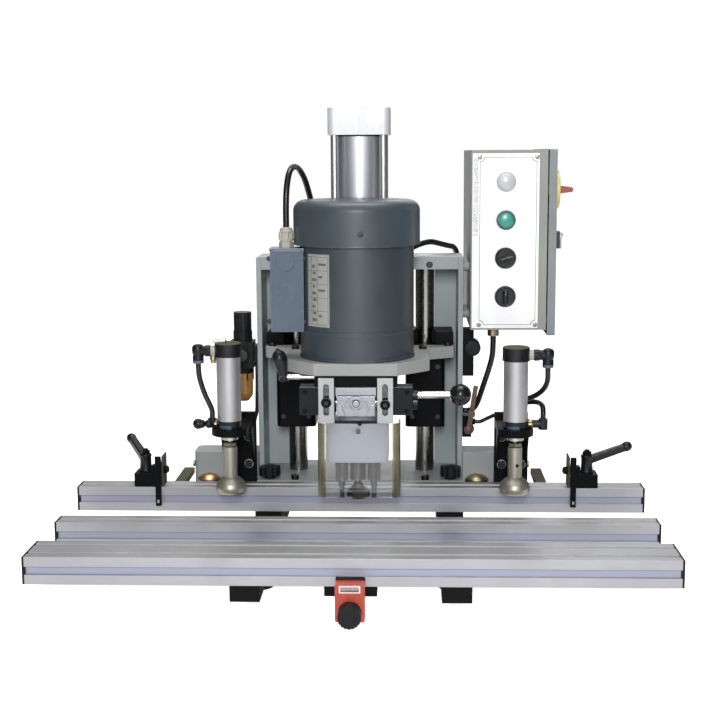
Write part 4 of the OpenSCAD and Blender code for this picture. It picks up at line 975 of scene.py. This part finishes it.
def add_nameplate():
    """Blank plate with ruled fields, riveted round the motor's left."""
    left, right, low, high = -53.6, -25.4, 278, 382
    dress(wrapped("nameplate", low, high, left, right, 0.7), "press_head", nameplate_finish)
    uprights = ((left + 1.2, left + 1.6), (right - 1.6, right - 1.2), (-47.4, -47.1), (-39.6, -39.3))
    rules = [wrapped("rule", low + 3, high - 3, a, b, 0.9) for a, b in uprights]
    for k in range(6):
        foot = low + 3 + k * 19.4
        rules.append(wrapped("rule", foot, foot + 0.5, left + 1.2, right - 1.2, 0.9))
    for k in range(9):
        foot = low + 8 + k * 9.6
        rules.append(wrapped("field", foot, foot + 4, -46.4 + (k % 2), -40.6 - (k % 3), 0.85))
    for z, end in ((88, -29), (70, -33), (51, -30), (14, -34)):
        rules.append(wrapped("field", low + z, low + z + 3.4, -38, end, 0.85))
    dress(fused("nameplate_rules", *rules), "press_head", rule_ink)
    rivets = []
    for turn in (left + 2, right - 2):
        for z in (low + 2.2, high - 2.2):
            bearing = math.radians(turn)
            spot = (85.2 * math.sin(bearing), HEAD_Y - 85.2 * math.cos(bearing), z)
            rivets.append(turned("rivet", spot, (math.pi / 2, 0, bearing), dome(1.3, 0, 0.9, 4), 16))
    dress(fused("nameplate_rivets", *rivets), "press_head", steel_finish)


TERMINAL_FRONT = 240
GLAND_X, GLAND_Y = -102, 261


def add_terminal_box():
    box = softened("terminal_box", terminal_enamel, 1.0)
    groove = band(11.4, 10.6, -0.6, 1)
    hollowed(box, turned("groove", (-102.2, TERMINAL_FRONT, 325), "front", groove, 48, ring=True))
    # painted light: the top band of the terminal box painted lighter, as lit from above
    paint_faces(box, lid_light_enamel, lambda p, n: 384.8 < p.z < 390 and p.x < -74)
    paint_faces(box, cream_plastic, lambda p, n: p.z > 390)
    rim = cut_plate("terminal_lid_rim", rounded_outline((-24.2, 24.2), (-60.5, 60.5), 3), 1.0,
                    holes=[rounded_outline((-21.4, 21.4), (-57.7, 57.7), 2)], rounding=0.3)
    dress(set_down(rim, (-100, TERMINAL_FRONT, 328), "front"), "press_head", terminal_enamel)
    lugs = [turned("lug", (x, 247, z), "front", [(3.4, 0), (3.4, 5), (2.6, 6.2), (1, 6.4)], 24)
            for x in (-126.4, -74.2) for z in (282, 374)]
    dress(fused("terminal_box_lugs", *lugs), "press_head", black_steel)
    ribs = []
    for k in range(10):
        turn = 2 * math.pi * k / 10
        spot = (GLAND_X + 9.9 * math.cos(turn), GLAND_Y + 9.9 * math.sin(turn), 401.5)
        ribs.append(turned("rib", spot, "up", [(1.3, 0), (1.5, 2), (1.5, 8), (1.1, 10)], 12))
    dress(fused("gland_ribs", *ribs), "press_head", cream_plastic)
    skirt = turned("gland_skirt", (GLAND_X, GLAND_Y, 412), "up",
                   [(10, 0), (9.3, 2.5), (7.2, 5), (5.2, 6.6), (4.7, 6.6), (4.7, 0)], 40, ring=True)
    dress(skirt, "press_head", cream_plastic)


def add_gearbox():
    case = softened("gearbox_case", gearbox_enamel, 0.8)
    paint_faces(case, black_enamel, lambda p, n: p.z > 189.5)
    screws = repeated("gearbox_screws", socket_screw(4, 3),
                      [(s * 38, 317, z) for s in SIDES for z in (79, 122)], "back")
    dress(screws, "press_head", black_steel)
    head = repeated("gearbox_front_screw", socket_screw(3.7, 2.6), [(2, 242, 119)], "front")
    dress(head, "press_head", black_steel)
    for node in ("centre_spindle", "left_spindle", "right_spindle"):
        softened(node, spindle_finish, 0.3)
    softened("cup_bit", cutter_finish, 0.2)
    profile = [(16.4, 0.05), (16.4, 1), (12.5, 3), (9, 6.5), (6.6, 11), (5.6, 12), (4.9, 12), (4.9, 0.05)]
    bell = turned("cup_bit_bell", (0, HEAD_Y, CUP_TOP), "up", profile, 48, ring=True)
    dress(bell, "main_drive", cutter_finish)
    for name, body, x, y, radius in CHUCKS:
        profile = band(radius + 0.9, radius - 0.5, 0, 1.6)
        rings = [turned("ring", (x, y, z), "up", profile, 40, ring=True) for z in (60.5, 64.5)]
        dress(fused(name + "_chuck_rings", *rings), body, black_steel)


add_housings()
add_plate()
add_motor()
add_nameplate()
add_terminal_box()
add_gearbox()

# Insertion unit and guard

DIE_Y, DIE_Z = 212, 165
GUARD_OFF = 4


def add_insertion_unit():
    unit = softened("insertion_block", block_steel, 0.8)
    paint_faces(unit, bracket_finish, lambda p, n: abs(p.x) < 30.5 and p.z > 182)
    handle = softened("insertion_handle", chrome_finish, 0.6)
    paint_faces(handle, ball_plastic, lambda p, n: p.x > 138.6)
    paint_faces(handle, black_steel, lambda p, n: 81.5 < p.x < 89.6)
    shade(handle, 50)
    corners = repeated("insertion_block_screws", socket_screw(3.6, 1.2),
                       [(s * 74, y, z) for s, y in ((-1, 213.4), (1, 214)) for z in (155, 183)], "front")
    dress(corners, "press_head", black_enamel)
    stop = block("die_stop", (-29.5, 209.5, 178.6), (29.5, 213, 189.6), 0.6)
    hollowed(stop, block("groove", (-24, 208, 182.6), (24, 210.3, 183.8)))
    dress(stop, "press_head", die_finish)


def add_die():
    """Swing-down press die: face plate, arched rib, two slanted jaws and a centre pin."""
    face = block("die_face", (-28, DIE_Y, DIE_Z - 18), (28, DIE_Y + 20, DIE_Z + 12), 0.8)
    hollowed(face, turned("window", (0, DIE_Y, DIE_Z + 1), "front", [(10, -3), (10, 1)], 40))
    hub = turned("hub", (-28, DIE_Y + 20, DIE_Z), "right", [(12, 0), (13, 1), (13, 55), (12, 56)], 40)
    for part in (face, hub):
        hollowed(part, turned("bore", (-29, DIE_Y + 20, DIE_Z), "right", [(6.1, 0), (6.1, 58)], 32))
    die = fused("insertion_die_finished", face, hub)
    dress(die, "insertion_arm", die_finish)
    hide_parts("insertion_die")
    outline = [*arc(0, 0, 17, 0, 180, 14), *arc(0, 0, 13.6, 180, 0, 14)]
    arch = set_down(cut_plate("arch", outline, 2.6, rounding=0.5), (0, DIE_Y, DIE_Z - 6), "front")
    jaws = []
    for s in SIDES:
        jaw = cut_plate("jaw", [(s * 26.5, -17), (s * 15, -17), (s * 21.5, -1), (s * 26.5, -1)][::s], 3,
                        rounding=0.5)
        jaws.append(set_down(jaw, (0, DIE_Y, DIE_Z), "front"))
        rib = cut_plate("rib", [(s * 17, 4), (s * 27, 2.6), (s * 27, 4.4), (s * 17, 5.8)][::s], 1.6,
                        rounding=0.3)
        jaws.append(set_down(rib, (0, DIE_Y, DIE_Z), "front"))
    pin = turned("pin", (0, DIE_Y + 3, DIE_Z + 1), "front", [(5.5, 0), (5.5, 3.5), (4.6, 4.6), (2, 5)], 32)
    ring = turned("ring", (0, DIE_Y, DIE_Z + 1), "front", band(11.4, 9.8, 0, 1.6), 40, ring=True)
    post = block("post", (-2.2, DIE_Y - 2.4, DIE_Z - 17), (2.2, DIE_Y + 0.5, DIE_Z - 9), 0.6)
    dress(fused("die_relief", arch, *jaws, pin, ring, post), "insertion_arm", die_finish)


def add_guard():
    """Bent clear sheet: outer corners rounded, two tabs up behind the brackets."""
    brackets = softened("guard_brackets", bracket_finish, 0.8, 3)
    paint_faces(brackets, black_steel, lambda p, n: p.y < 203.9)
    spots = ((-42.5, 204, 169), (42.5, 204, 166))
    heads = repeated("guard_screws", socket_screw(6.3, 5.2), spots, "front")
    dress(heads, "press_head", black_enamel)
    profile = [(7.6, 0), (7.6, 0.9), (7, 1.1), (6, 1.1), (6, 0)]
    washers = [turned("washer", spot, "front", profile, 32, ring=True) for spot in spots]
    dress(fused("guard_washers", *washers), "press_head", black_steel)
    wall, bend, half, depth = 3, 12, 60.5, 37
    outer = [(half, depth), *arc(half - bend, bend, bend, 0, -90, 8)[:-1], (0, 0)]
    inner = [(0, wall), *arc(half - bend, bend, bend - wall, -90, 0, 8), (half - wall, depth)]
    loop = [*outer, *[(-x, y) for x, y in outer[::-1][1:]],
            *[(-x, y) for x, y in inner[::-1][:-1]], *inner[1:]]
    sheet = set_down(cut_plate("guard_sheet", loop, 110), (GUARD_OFF, 210, 27))
    ease(sheet, 0.5 * MM, 2, 50)
    tabs = [block("tab", (x, 210.05, 136.5), (x + 21, 212.95, 194.8), 0.4) for x in (-53, 32)]
    shade(sheet, 50)
    dress(sheet, "press_head", guard_finish)
    # painted shade: the sheet's rounded bends tinted dark olive
    paint_faces(sheet, bend_shade_finish, lambda p, n: abs(p.x - GUARD_OFF) > 48.4)
    dress(fused("guard_tabs", *tabs), "press_head", guard_finish)
    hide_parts("guard")
    strip = block("guard_top_strip", (-30.4, 208.8, 137.2), (30.4, 213.4, 141.2), 0.6)
    nub = turned("nub", (5.9, 209, 137.6), "front", [(3.4, 0), (3.4, 1.6), (2.4, 2.6)], 24)
    dress(fused("guard_top_strip", strip, nub), "press_head", black_plastic)


def add_lock_lever():
    """Rod to the swing lock with a drop-shaped grip that leans outwards."""
    y, z = 222, 204
    rod = turned("rod", (-107, y, z), "right", [(3.9, 0), (4.4, 0.6), (4.4, 46.7)], 32)
    hub = turned("hub", (-112, y, z), "right", [(5, 0), (6.6, 1), (6.6, 7), (5.6, 8)], 32)
    grip = turned("grip", (-105, y, z), (0, math.radians(-12), 0),
                  [(5, -7), (6.4, -4), (6.8, 2), (7.4, 8), (9, 15), (10.6, 22), (11, 27), (10.2, 32),
                   (8, 36.5), (5, 39), (2.6, 40), (2, 42), (1, 42.6)], 40)
    lever = fused("lock_lever_finished", grip, hub, rod)
    dress(lever, nodes["lock_lever"]["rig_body"], ball_black)
    paint_faces(lever, chrome_finish, lambda p, n: p.x > -103.9 and abs(p.z - z) < 4.6 and abs(p.y - y) < 4.6)
    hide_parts("lock_lever")


add_insertion_unit()
add_die()
add_guard()
add_lock_lever()

# Hold-down clamps

CLAMP_Y = 270
CLAMPS = {"left": (-192, -1), "right": (235, 1)}
BRACKET_X = {"left": -187.5, "right": 235}


def add_clamp(name):
    """Elbows, collars, labels and nuts of one clamp cylinder."""
    x, s = CLAMPS[name]
    outward = SIDES[s]
    reach = x + (47 if s > 0 else -45)
    lift = 0 if s < 0 else -6.5
    top_z, foot_z = 235 + lift, 125
    barrel = turned("barrel", (x + s * 26, CLAMP_Y, top_z), outward,
                    [(7.6, 0), (8.6, 1), (8.6, 7), (7.4, 9), (7.4, abs(reach - x) - 30)], 40)
    ball = turned("ball", (reach, CLAMP_Y, top_z + 9.6), "down",
                  [(3.4, -0.4), (6.4, 0.8), (8.6, 3.4), (9.2, 8), (8.6, 13), (7.8, 16), (8.2, 17),
                   (8.2, 24)], 40)
    dress(fused(name + "_upper_elbow", barrel, ball), "frame", ball_black)
    ring = turned(name + "_hose_collar", (reach, CLAMP_Y, 216.5 + lift), "up",
                  [(7.9, 0), (8.3, 0.8), (8.3, 4.2), (7.6, 5), (4.2, 5), (4.2, 0)], 40, ring=True)
    dress(ring, "frame", collar_plastic)
    collar = turned(name + "_cap_collar", (x + s * 18.5, CLAMP_Y, top_z), outward,
                    [(6.6, 0), (7.6, 0.8), (7.6, 6.6), (6.8, 7.5)], 32)
    dress(collar, "frame", cream_plastic)
    hexagon = turned(name + "_port_hexagon", (x + s * 18.4, CLAMP_Y, foot_z), outward,
                     [(6.2, 0), (7, 0.6), (7, 6.2), (6.2, 7)], 6)
    ease(hexagon, 0.5 * MM)
    dress(hexagon, "frame", brass_finish)
    top = turned(name + "_cap_plate", (x, CLAMP_Y, 246 + lift), "up",
                 [(19.6, 0), (19.6, 0.8), (18.6, 1.5)], 48)
    dress(top, "frame", olive_enamel)
    if s < 0:
        knuckle = turned("left_valve_ball", (-238, CLAMP_Y - 9, 126), "left",
                         [(2, -7.8), (5, -6.4), (7.2, -3.6), (8, 0), (7.2, 3.6), (5, 6.4), (2, 7.8)], 32)
        dress(knuckle, "frame", ball_black)
    bands = [turned("band", (x, CLAMP_Y, z), "up", band(r, r - 1.4, 0, 1.2), 48, ring=True)
             for z, r in ((227.4 + lift, 20.5), (127.6, 18.6))]
    dress(fused(name + "_cap_bands", *bands), "frame", ball_black)
    label = turned(name + "_blank_label", (x, CLAMP_Y, 116), "up", band(18.5, 17.8, 0, 8), 48, ring=True)
    keep_front(label, x - 4, 9)
    dress(label, "frame", label_blue)
    nut = turned(name + "_rod_nut", (x, CLAMP_Y, 90.2), "up",
                 [(9.6, 0), (10.6, 0.8), (10.6, 6.4), (9.6, 7.2)], 6)
    ease(nut, 0.5 * MM)
    dress(nut, name + "_hold_down", dark_nut)


def keep_front(piece, x, half):
    """Bisects a turned ring down to the stretch in front, near x."""
    take(piece)
    bpy.ops.object.mode_set(mode="EDIT")
    for edge, normal in ((x - half, (-1, 0, 0)), (x + half, (1, 0, 0))):
        bpy.ops.mesh.select_all(action="SELECT")
        bpy.ops.mesh.bisect(plane_co=at(edge, 0, 0), plane_no=normal, use_fill=True, clear_outer=True)
    bpy.ops.mesh.select_all(action="SELECT")
    bpy.ops.mesh.bisect(plane_co=at(0, CLAMP_Y, 0), plane_no=(0, 1, 0), use_fill=True, clear_outer=True)
    bpy.ops.object.mode_set(mode="OBJECT")


def add_clamps():
    softened("clamp_tubes", tube_finish, 0.4)
    fittings = softened("clamp_fittings", ball_black, 0.8)
    paint_faces(fittings, steel_finish, lambda p, n: p.z < 108.4)
    for name in CLAMPS:
        rod = softened(name + "_clamp_rod", clamp_steel, 1.2, 3)
        paint_faces(rod, black_plastic, lambda p, n: p.z < 18.9 and n.z < -0.3)
        shade(rod, 46)
        add_clamp(name)
    softened("clamp_brackets", black_enamel, 1.0)
    spots = [(x + k, 339.2, z) for x in BRACKET_X.values() for k in (-15, 15) for z in (47, 90)]
    heads = repeated("bracket_screws", socket_screw(6.2, 3), spots, "front")
    dress(heads, "frame", black_steel)
    rims = [turned("rim", (x, y + 0.1, z), "front", band(7, 5.9, 0, 0.7), 32, ring=True) for x, y, z in spots]
    dress(fused("bracket_screw_rims", *rims), "frame", steel_finish)
    gussets = []
    for x in BRACKET_X.values():
        for k in (-22, 22):
            web = cut_plate("web", [(0, 0), (-46, 0), (0, -70)], 4, rounding=0.5)
            gussets.append(set_down(web, (x + k - 2, BASE_Y + 0.5, 109), (math.pi / 2, 0, math.pi / 2)))
    dress(fused("bracket_webs", *gussets), "frame", black_enamel)
    valve = block("flow_lever", (-214, 265, 247.2), (-195, 275, 251.8), 1.2, 3)
    stem = turned("stem", (-205, 270, 246.5), "up", [(4, 0), (4, 2.4)], 24)
    dress(fused("flow_lever", valve, stem), "frame", steel_finish)
    screw = turned("flow_screw", (-214.6, 270, 229.5), "down",
                   [(4.4, 0), (4.8, 1), (4.8, 8), (4, 9), (4, 12), (3, 13)], 24)
    dress(screw, "frame", dome_finish)
    hole = turned("sleeve_mark", (237.6, 258.7, 63.4), "front", [(2.6, -0.6), (2.6, 0.15), (2.2, 0.25)], 24)
    dress(hole, "right_hold_down", black_plastic)


add_clamps()

# Flip stops

STOP_X, STOP_Y = 322, 322
HUB_Z = 39.3


def add_stop(name):
    """One stop with its ratchet lever; the left one mirrors the right and stands further in."""
    s, shift = (1, 0) if name == "right" else (-1, 18)

    def across(u):
        return s * u + shift

    block_piece = softened(name + "_stop_block", black_enamel, 0.9, 3)
    plate = softened(name + "_stop_plate", black_enamel, 0.8)
    hub_x = across(STOP_X + 27)
    hub = turned("hub", (hub_x, STOP_Y, HUB_Z), "up",
                 [(10.4, 0), (10.4, 2), (9.6, 3), (8.8, 12), (8.8, 22), (9.6, 25), (8.6, 27)], 40)
    hollowed(hub, turned("bore", (hub_x, STOP_Y, HUB_Z - 1), "up", [(4.1, 0), (4.1, 29)], 24))
    tilt, turn = math.radians(70), math.radians(0 if s > 0 else 58)
    lift = HUB_Z + 18.3
    direction = Vector((s * math.sin(tilt) * math.cos(turn), math.sin(tilt) * math.sin(turn), math.cos(tilt)))
    start, length = 4, 62
    facing = (0, tilt, turn if s > 0 else math.pi - turn)
    pivot = Vector((hub_x, STOP_Y, lift))
    arm = set_down(tapered_arm("arm", length - start, (12.4, 13.4), (11.4, 11.8)),
                   pivot + direction * start, facing)
    nose = turned("nose", pivot + direction * length, facing,
                  [(4.4, -7), (6.6, -3.5), (7.7, 0), (7.7, 3.5), (6.6, 6.8), (4.2, 9), (1.6, 10)], 32)
    lever = fused(name + "_stop_lever_finished", hub, arm, nose)
    dress(lever, name + "_stop_ratchet", ball_black)
    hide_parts(name + "_stop_lever")
    corners = sorted_corner(across(STOP_X - 2.6), across(STOP_X - 0.6), 304, 338, 18.6, 66)
    cheek = block(name + "_stop_cheek", *corners, 0.5)
    dress(cheek, block_piece["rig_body"], olive_enamel)
    knob = turned(name + "_pin_ball", (across(STOP_X - 9.2), FENCE_Y + 7, FENCE_TOP + 26.5), SIDES[-s],
                  dome(5.4, 0, 2.6, 5, 0.2), 32)
    dress(knob, block_piece["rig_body"], ball_black)
    corners = sorted_corner(across(STOP_X + 2.6), across(STOP_X + 6), 296.4, 297.2, -5.5, -1)
    pointer = block(name + "_stop_edge", *corners, 0.2)
    dress(pointer, plate["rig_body"], steel_finish)


def tapered_arm(name, length, start, end):
    """Bar along Z at the world's origin, thinner towards its far end."""
    deselect()
    bpy.ops.mesh.primitive_cube_add(size=MM, location=(0, 0, length / 2 * MM))
    arm = bpy.context.object
    arm.name = name
    arm.scale = (start[0], start[1], length)
    settle(arm)
    bpy.ops.object.mode_set(mode="EDIT")
    bpy.ops.mesh.select_all(action="DESELECT")
    bpy.ops.object.mode_set(mode="OBJECT")
    for face in arm.data.polygons:
        face.select = face.normal.z > 0.9
    bpy.ops.object.mode_set(mode="EDIT")
    bpy.ops.mesh.select_mode(type="FACE")
    bpy.ops.transform.resize(value=(end[0] / start[0], end[1] / start[1], 1),
                             center_override=(0, 0, length * MM))
    bpy.ops.object.mode_set(mode="OBJECT")
    ease(arm, 2.6 * MM, 4)
    shade(arm, 50)
    return arm


for name in SIDES.values():
    add_stop(name)

# Position indicator

IND_FRONT, WINDOW_Z, IND_AXIS = -25, -33.5, -65


def add_indicator():
    softened("indicator_bracket", black_enamel, 0.8)
    housing = softened("indicator_body", red_plastic, 1.6, 4)
    shade(housing, 60)
    knob = softened("indicator_knob", black_plastic, 0.5)
    spot = (0, IND_FRONT, WINDOW_Z)
    window = cut_plate("window_frame", rounded_outline((-14, 14), (-4.9, 4.9), 1.2), 1.1,
                       holes=[rounded_outline((-12.2, 12.2), (-3.3, 3.3), 0.6)], rounding=0.3)
    dress(set_down(window, spot, "front"), "frame", window_finish)
    drums = [turned("drum", (-12.2 + k * 5, IND_FRONT + 3.6, WINDOW_Z), "right",
                    [(3.2, 0), (3.6, 0.3), (3.6, 4.1), (3.2, 4.4)], 24) for k in range(5)]
    dress(fused("counter_drums", *drums), "frame", drum_finish)
    digits = []
    for k, digit in enumerate("00825"):
        text = bpy.data.curves.new("digit", "FONT")
        text.body = digit
        text.size = 5.6 * MM
        text.extrude = 0.1 * MM
        text.align_x = "CENTER"
        text.align_y = "CENTER"
        piece = bpy.data.objects.new("digit", text)
        bpy.context.collection.objects.link(piece)
        take(piece)
        bpy.ops.object.convert(target="MESH")
        digits.append(set_down(bpy.context.object, (-10 + k * 5, IND_FRONT - 0.05, WINDOW_Z), "front"))
    dress(fused("counter_digits", *digits), "frame", digit_ink)
    ring = turned("knob_face_ring", (0, -44, IND_AXIS), "front",
                  [(12.5, -1), (12.5, 0.9), (11.4, 0.95), (11.4, -1)], 48, ring=True)
    centre = turned("knob_face_hub", (0, -44, IND_AXIS), "front",
                    [(6, -1), (6, 0.4), (5.2, 0.8), (2, 0.9)], 32)
    dress(fused("knob_face", ring, centre), knob["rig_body"], dark_nut)
    visor = block("indicator_back_plate", (-19.5, -2.4, -66), (19.5, 2.8, -24.5), 1.2)
    dress(visor, "frame", black_plastic)


add_indicator()

# Control box

PANEL_X, PANEL_Y = 222, 329
PANEL_Z = {"lamp": 481, "start": 424, "upper": 367, "lower": 309}
DOOR_FACE, LABEL_Z = 298, 392
LABEL_FRONT = PANEL_Y - 0.8


def notched_outline(x, z, notch):
    """Rectangle whose corners are cut by arcs round the corner screws."""
    (x0, x1), (z0, z1) = x, z
    return [*arc(x1, z0, notch, 180, 90, 6), *arc(x1, z1, notch, 270, 180, 6),
            *arc(x0, z1, notch, 360, 270, 6), *arc(x0, z0, notch, 90, 0, 6)]


def add_panel():
    """White label plate with a thin line frame, its screws, and the devices on it."""
    box = softened("control_box", box_enamel, 0.9)
    paint_faces(box, dome_finish, lambda p, n: p.z < 257.6)
    paint_faces(box, steel_finish, lambda p, n: p.x > 285.5 and p.y > 590)
    plate = cut_plate("label_plate", rounded_outline((-50.4, 49.2), (-131, 131), 1.5), 0.8,
                      holes=[arc(0, PANEL_Z["start"] - LABEL_Z, 8.8, 0, 345, 23)], rounding=0.25)
    dress(set_down(plate, (PANEL_X, PANEL_Y, LABEL_Z), "front"), "frame", label_plastic)
    frame_line = cut_plate("label_line", notched_outline((-39.5, 45.5), (-126, 125.5), 6.5), 0.12,
                           holes=[notched_outline((-38.8, 44.8), (-125.3, 124.8), 6.5)])
    dress(set_down(frame_line, (PANEL_X, LABEL_FRONT, LABEL_Z), "front"), "frame", rule_ink)
    strip = cut_plate("label_strip", rounded_outline((-49, -41.5), (8, 124), 1), 0.1)
    dress(set_down(strip, (PANEL_X, LABEL_FRONT, LABEL_Z), "front"), "frame", speckled_label)
    screws = repeated("label_screws", slotted_screw(3.3, 1.4),
                      [(PANEL_X + x, LABEL_FRONT, LABEL_Z + z) for x in (-39.5, 45.5) for z in (-126, 125.5)],
                      "front")
    dress(screws, "frame", dark_nut)
    bezel = turned("start_bezel", (PANEL_X, LABEL_FRONT, PANEL_Z["start"]), "front",
                   [(14.4, 0), (14.4, 3), (13.4, 5.4), (12.4, 5.4), (12, 3), (12, 0)], 48, ring=True)
    dress(bezel, "frame", bezel_green)
    button = turned("start_button_finished", (PANEL_X, PANEL_Y, PANEL_Z["start"]), "front",
                    [(8, -18), (8, 5), (11.6, 5.4), (11.6, 7.8), *dome(11.6, 7.8, 2.6, 6, 0.1)[1:]], 48)
    dress(button, "start", green_plastic)
    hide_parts("start_button")
    lamp_ring = turned("lamp_bezel", (PANEL_X, LABEL_FRONT, PANEL_Z["lamp"]), "front",
                       [(14.6, 0), (14.6, 2.4), (13.8, 3.6), (12.6, 3.6), (12.6, 0)], 48, ring=True)
    dress(lamp_ring, "frame", lamp_ring_finish)
    lens = turned("signal_lamp_finished", (PANEL_X, PANEL_Y, PANEL_Z["lamp"]), "front",
                  [(8, -20), (8, 0), (12.8, 0.4), (12.8, 4.6), *dome(12.8, 4.6, 4.6, 8, 0.08)[1:]], 48)
    dress(lens, "frame", lamp_lens)
    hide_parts("signal_lamp")
    for name, tilt in (("upper", 70), ("lower", 0)):
        add_selector(name, tilt)


def add_selector(name, tilt):
    """Round rotary switch with a raised grip bar and an index line."""
    z = PANEL_Z[name]
    turn = math.radians(tilt)
    disc = turned("disc", (PANEL_X, PANEL_Y, z), "front",
                  [(8, -21), (8, 0.4), (15, 0.6), (15, 3.4), (14.2, 5), (13.4, 5.6), (12.6, 5.2)], 48)
    grip = tapered_arm("grip", 8.5, (9.5, 25), (6.4, 22.5))
    set_down(grip, (PANEL_X, PANEL_Y - 5, z), facing_front(turn))
    knob = fused(name + "_selector_finished", disc, grip)
    dress(knob, "selector_" + name, ball_black)
    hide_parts(name + "_selector")
    line = cut_plate(name + "_index_line", rounded_outline((-0.7, 0.7), (2, 10.4), 0.6), 0.3)
    set_down(line, (PANEL_X, PANEL_Y - 13.4, z), facing_front(turn))
    dress(line, "selector_" + name, index_paint)
    ring = turned(name + "_selector_ring", (PANEL_X, LABEL_FRONT, z), "front",
                  [(16, 0), (16, 1), (15.4, 1.6), (14, 1.6), (14, 0)], 48, ring=True)
    dress(ring, "frame", black_steel)


def add_door():
    door = softened("box_door", door_enamel, 1.2, 3)
    paint_faces(door, black_steel, lambda p, n: p.x > DOOR_FACE + 0.05 and p.y < 370)
    paint_faces(door, steel_finish, lambda p, n: p.x > DOOR_FACE + 0.05 and p.y > 580)
    plate = block("latch_plate", (DOOR_FACE - 0.2, 343, 376), (DOOR_FACE + 1.4, 367, 410), 0.6)
    arm = block("arm", (DOOR_FACE + 6.4, 350.5, 379), (DOOR_FACE + 9.6, 359.5, 404), 1.2, 3)
    pin = turned("pin", (DOOR_FACE + 1, 355, 399), "right", [(5.2, 0), (5.2, 9), (4.4, 10.4)], 24)
    dress(plate, "door", chrome_finish)
    dress(fused("latch_arm", arm, pin), "door", chrome_finish)
    disc_y, disc_z = 385, 468
    handle = softened("disconnect_handle", yellow_plastic, 1.2, 3)
    paint_faces(handle, grip_plastic, lambda p, n: p.x > DOOR_FACE + 7.05)
    shade(handle, 40)
    rim = turned("disc_rim", (DOOR_FACE + 6.6, disc_y, disc_z), "right",
                 [(29.2, -5), (29.2, 0.6), (28.2, 1.2), (25.6, 1.2), (25, 0.4), (25, -5)], 64, ring=True)
    dress(rim, handle["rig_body"], yellow_plastic)


add_panel()
add_door()

# Air line

REG_X, REG_Y, REG_Z = -186, 400, 190


def add_regulator():
    body = softened("air_regulator", black_plastic, 1.4, 3)
    paint_faces(body, bowl_finish, lambda p, n: p.z < REG_Z - 0.2)
    softened("regulator_knob", ball_black, 0.8)
    ring = turned("bowl_ring", (REG_X, REG_Y, REG_Z - 9), "up",
                  [(15, 0), (16.6, 0.6), (16.6, 8), (15.8, 9), (14, 9), (14, 0)], 40, ring=True)
    dress(ring, "frame", black_plastic)
    ribs = []
    for k in range(6):
        turn = math.pi * k / 3
        x, y = REG_X + 15.4 * math.cos(turn), REG_Y + 15.4 * math.sin(turn)
        ribs.append(turned("rib", (x, y, REG_Z - 20), "up", [(1, 0), (1.2, 1), (1.2, 11), (1, 12)], 12))
    dress(fused("bowl_ribs", *ribs), "frame", black_plastic)
    spot = (REG_X, REG_Y - 26, REG_Z + 22)
    rim = turned("gauge_rim", spot, "front", [(11.6, -3), (11.6, 1), (10.8, 1.6), (9.8, 1.6), (9.8, -3)], 48,
                 ring=True)
    dress(rim, "frame", black_plastic)
    face = turned("gauge_face", spot, "front", [(9.9, -1), (9.9, 0.2), (9.2, 0.25)], 48)
    dress(face, "frame", digit_ink)
    marks = []
    for k in range(9):
        turn = math.radians(-130 + 32.5 * k)
        mark = cut_plate("mark", [(-0.3, 6.4), (0.3, 6.4), (0.3, 8.6), (-0.3, 8.6)], 0.15)
        marks.append(set_down(mark, (spot[0], spot[1] - 0.3, spot[2]), facing_front(turn)))
    hand = cut_plate("hand", [(-0.6, -2), (0.6, -2), (0.25, 6), (-0.25, 6)], 0.3)
    set_down(hand, (spot[0], spot[1] - 0.5, spot[2]), facing_front(math.radians(-40)))
    dress(fused("gauge_marks", *marks, hand), "frame", index_paint)


def add_valves():
    softened("lever_valve", black_enamel, 1.2, 3)
    softened("valve_lever", lever_coating, 1.4, 3)
    cap = turned("valve_cap", (176, 387, 222), "front",
                 [(12.4, 0), (12.8, 1), (12.8, 3), (11.4, 4.6), (4, 5.2)], 40)
    dress(cap, "frame", black_plastic)
    hub = turned("lever_hub", (170, 364, 96), "front", [(5.4, 0), (5.4, 1.4), (4.4, 2.2), (2, 2.5)], 32)
    dress(hub, "hand_valve", lever_coating)
    grommet = turned("cable_grommet", (161, 425, 115), "right",
                     [(8.4, 0), (8.4, 1.6), (6.4, 3), (4.6, 3), (4.6, 0)], 40, ring=True)
    dress(grommet, "frame", black_plastic)


add_regulator()
add_valves()
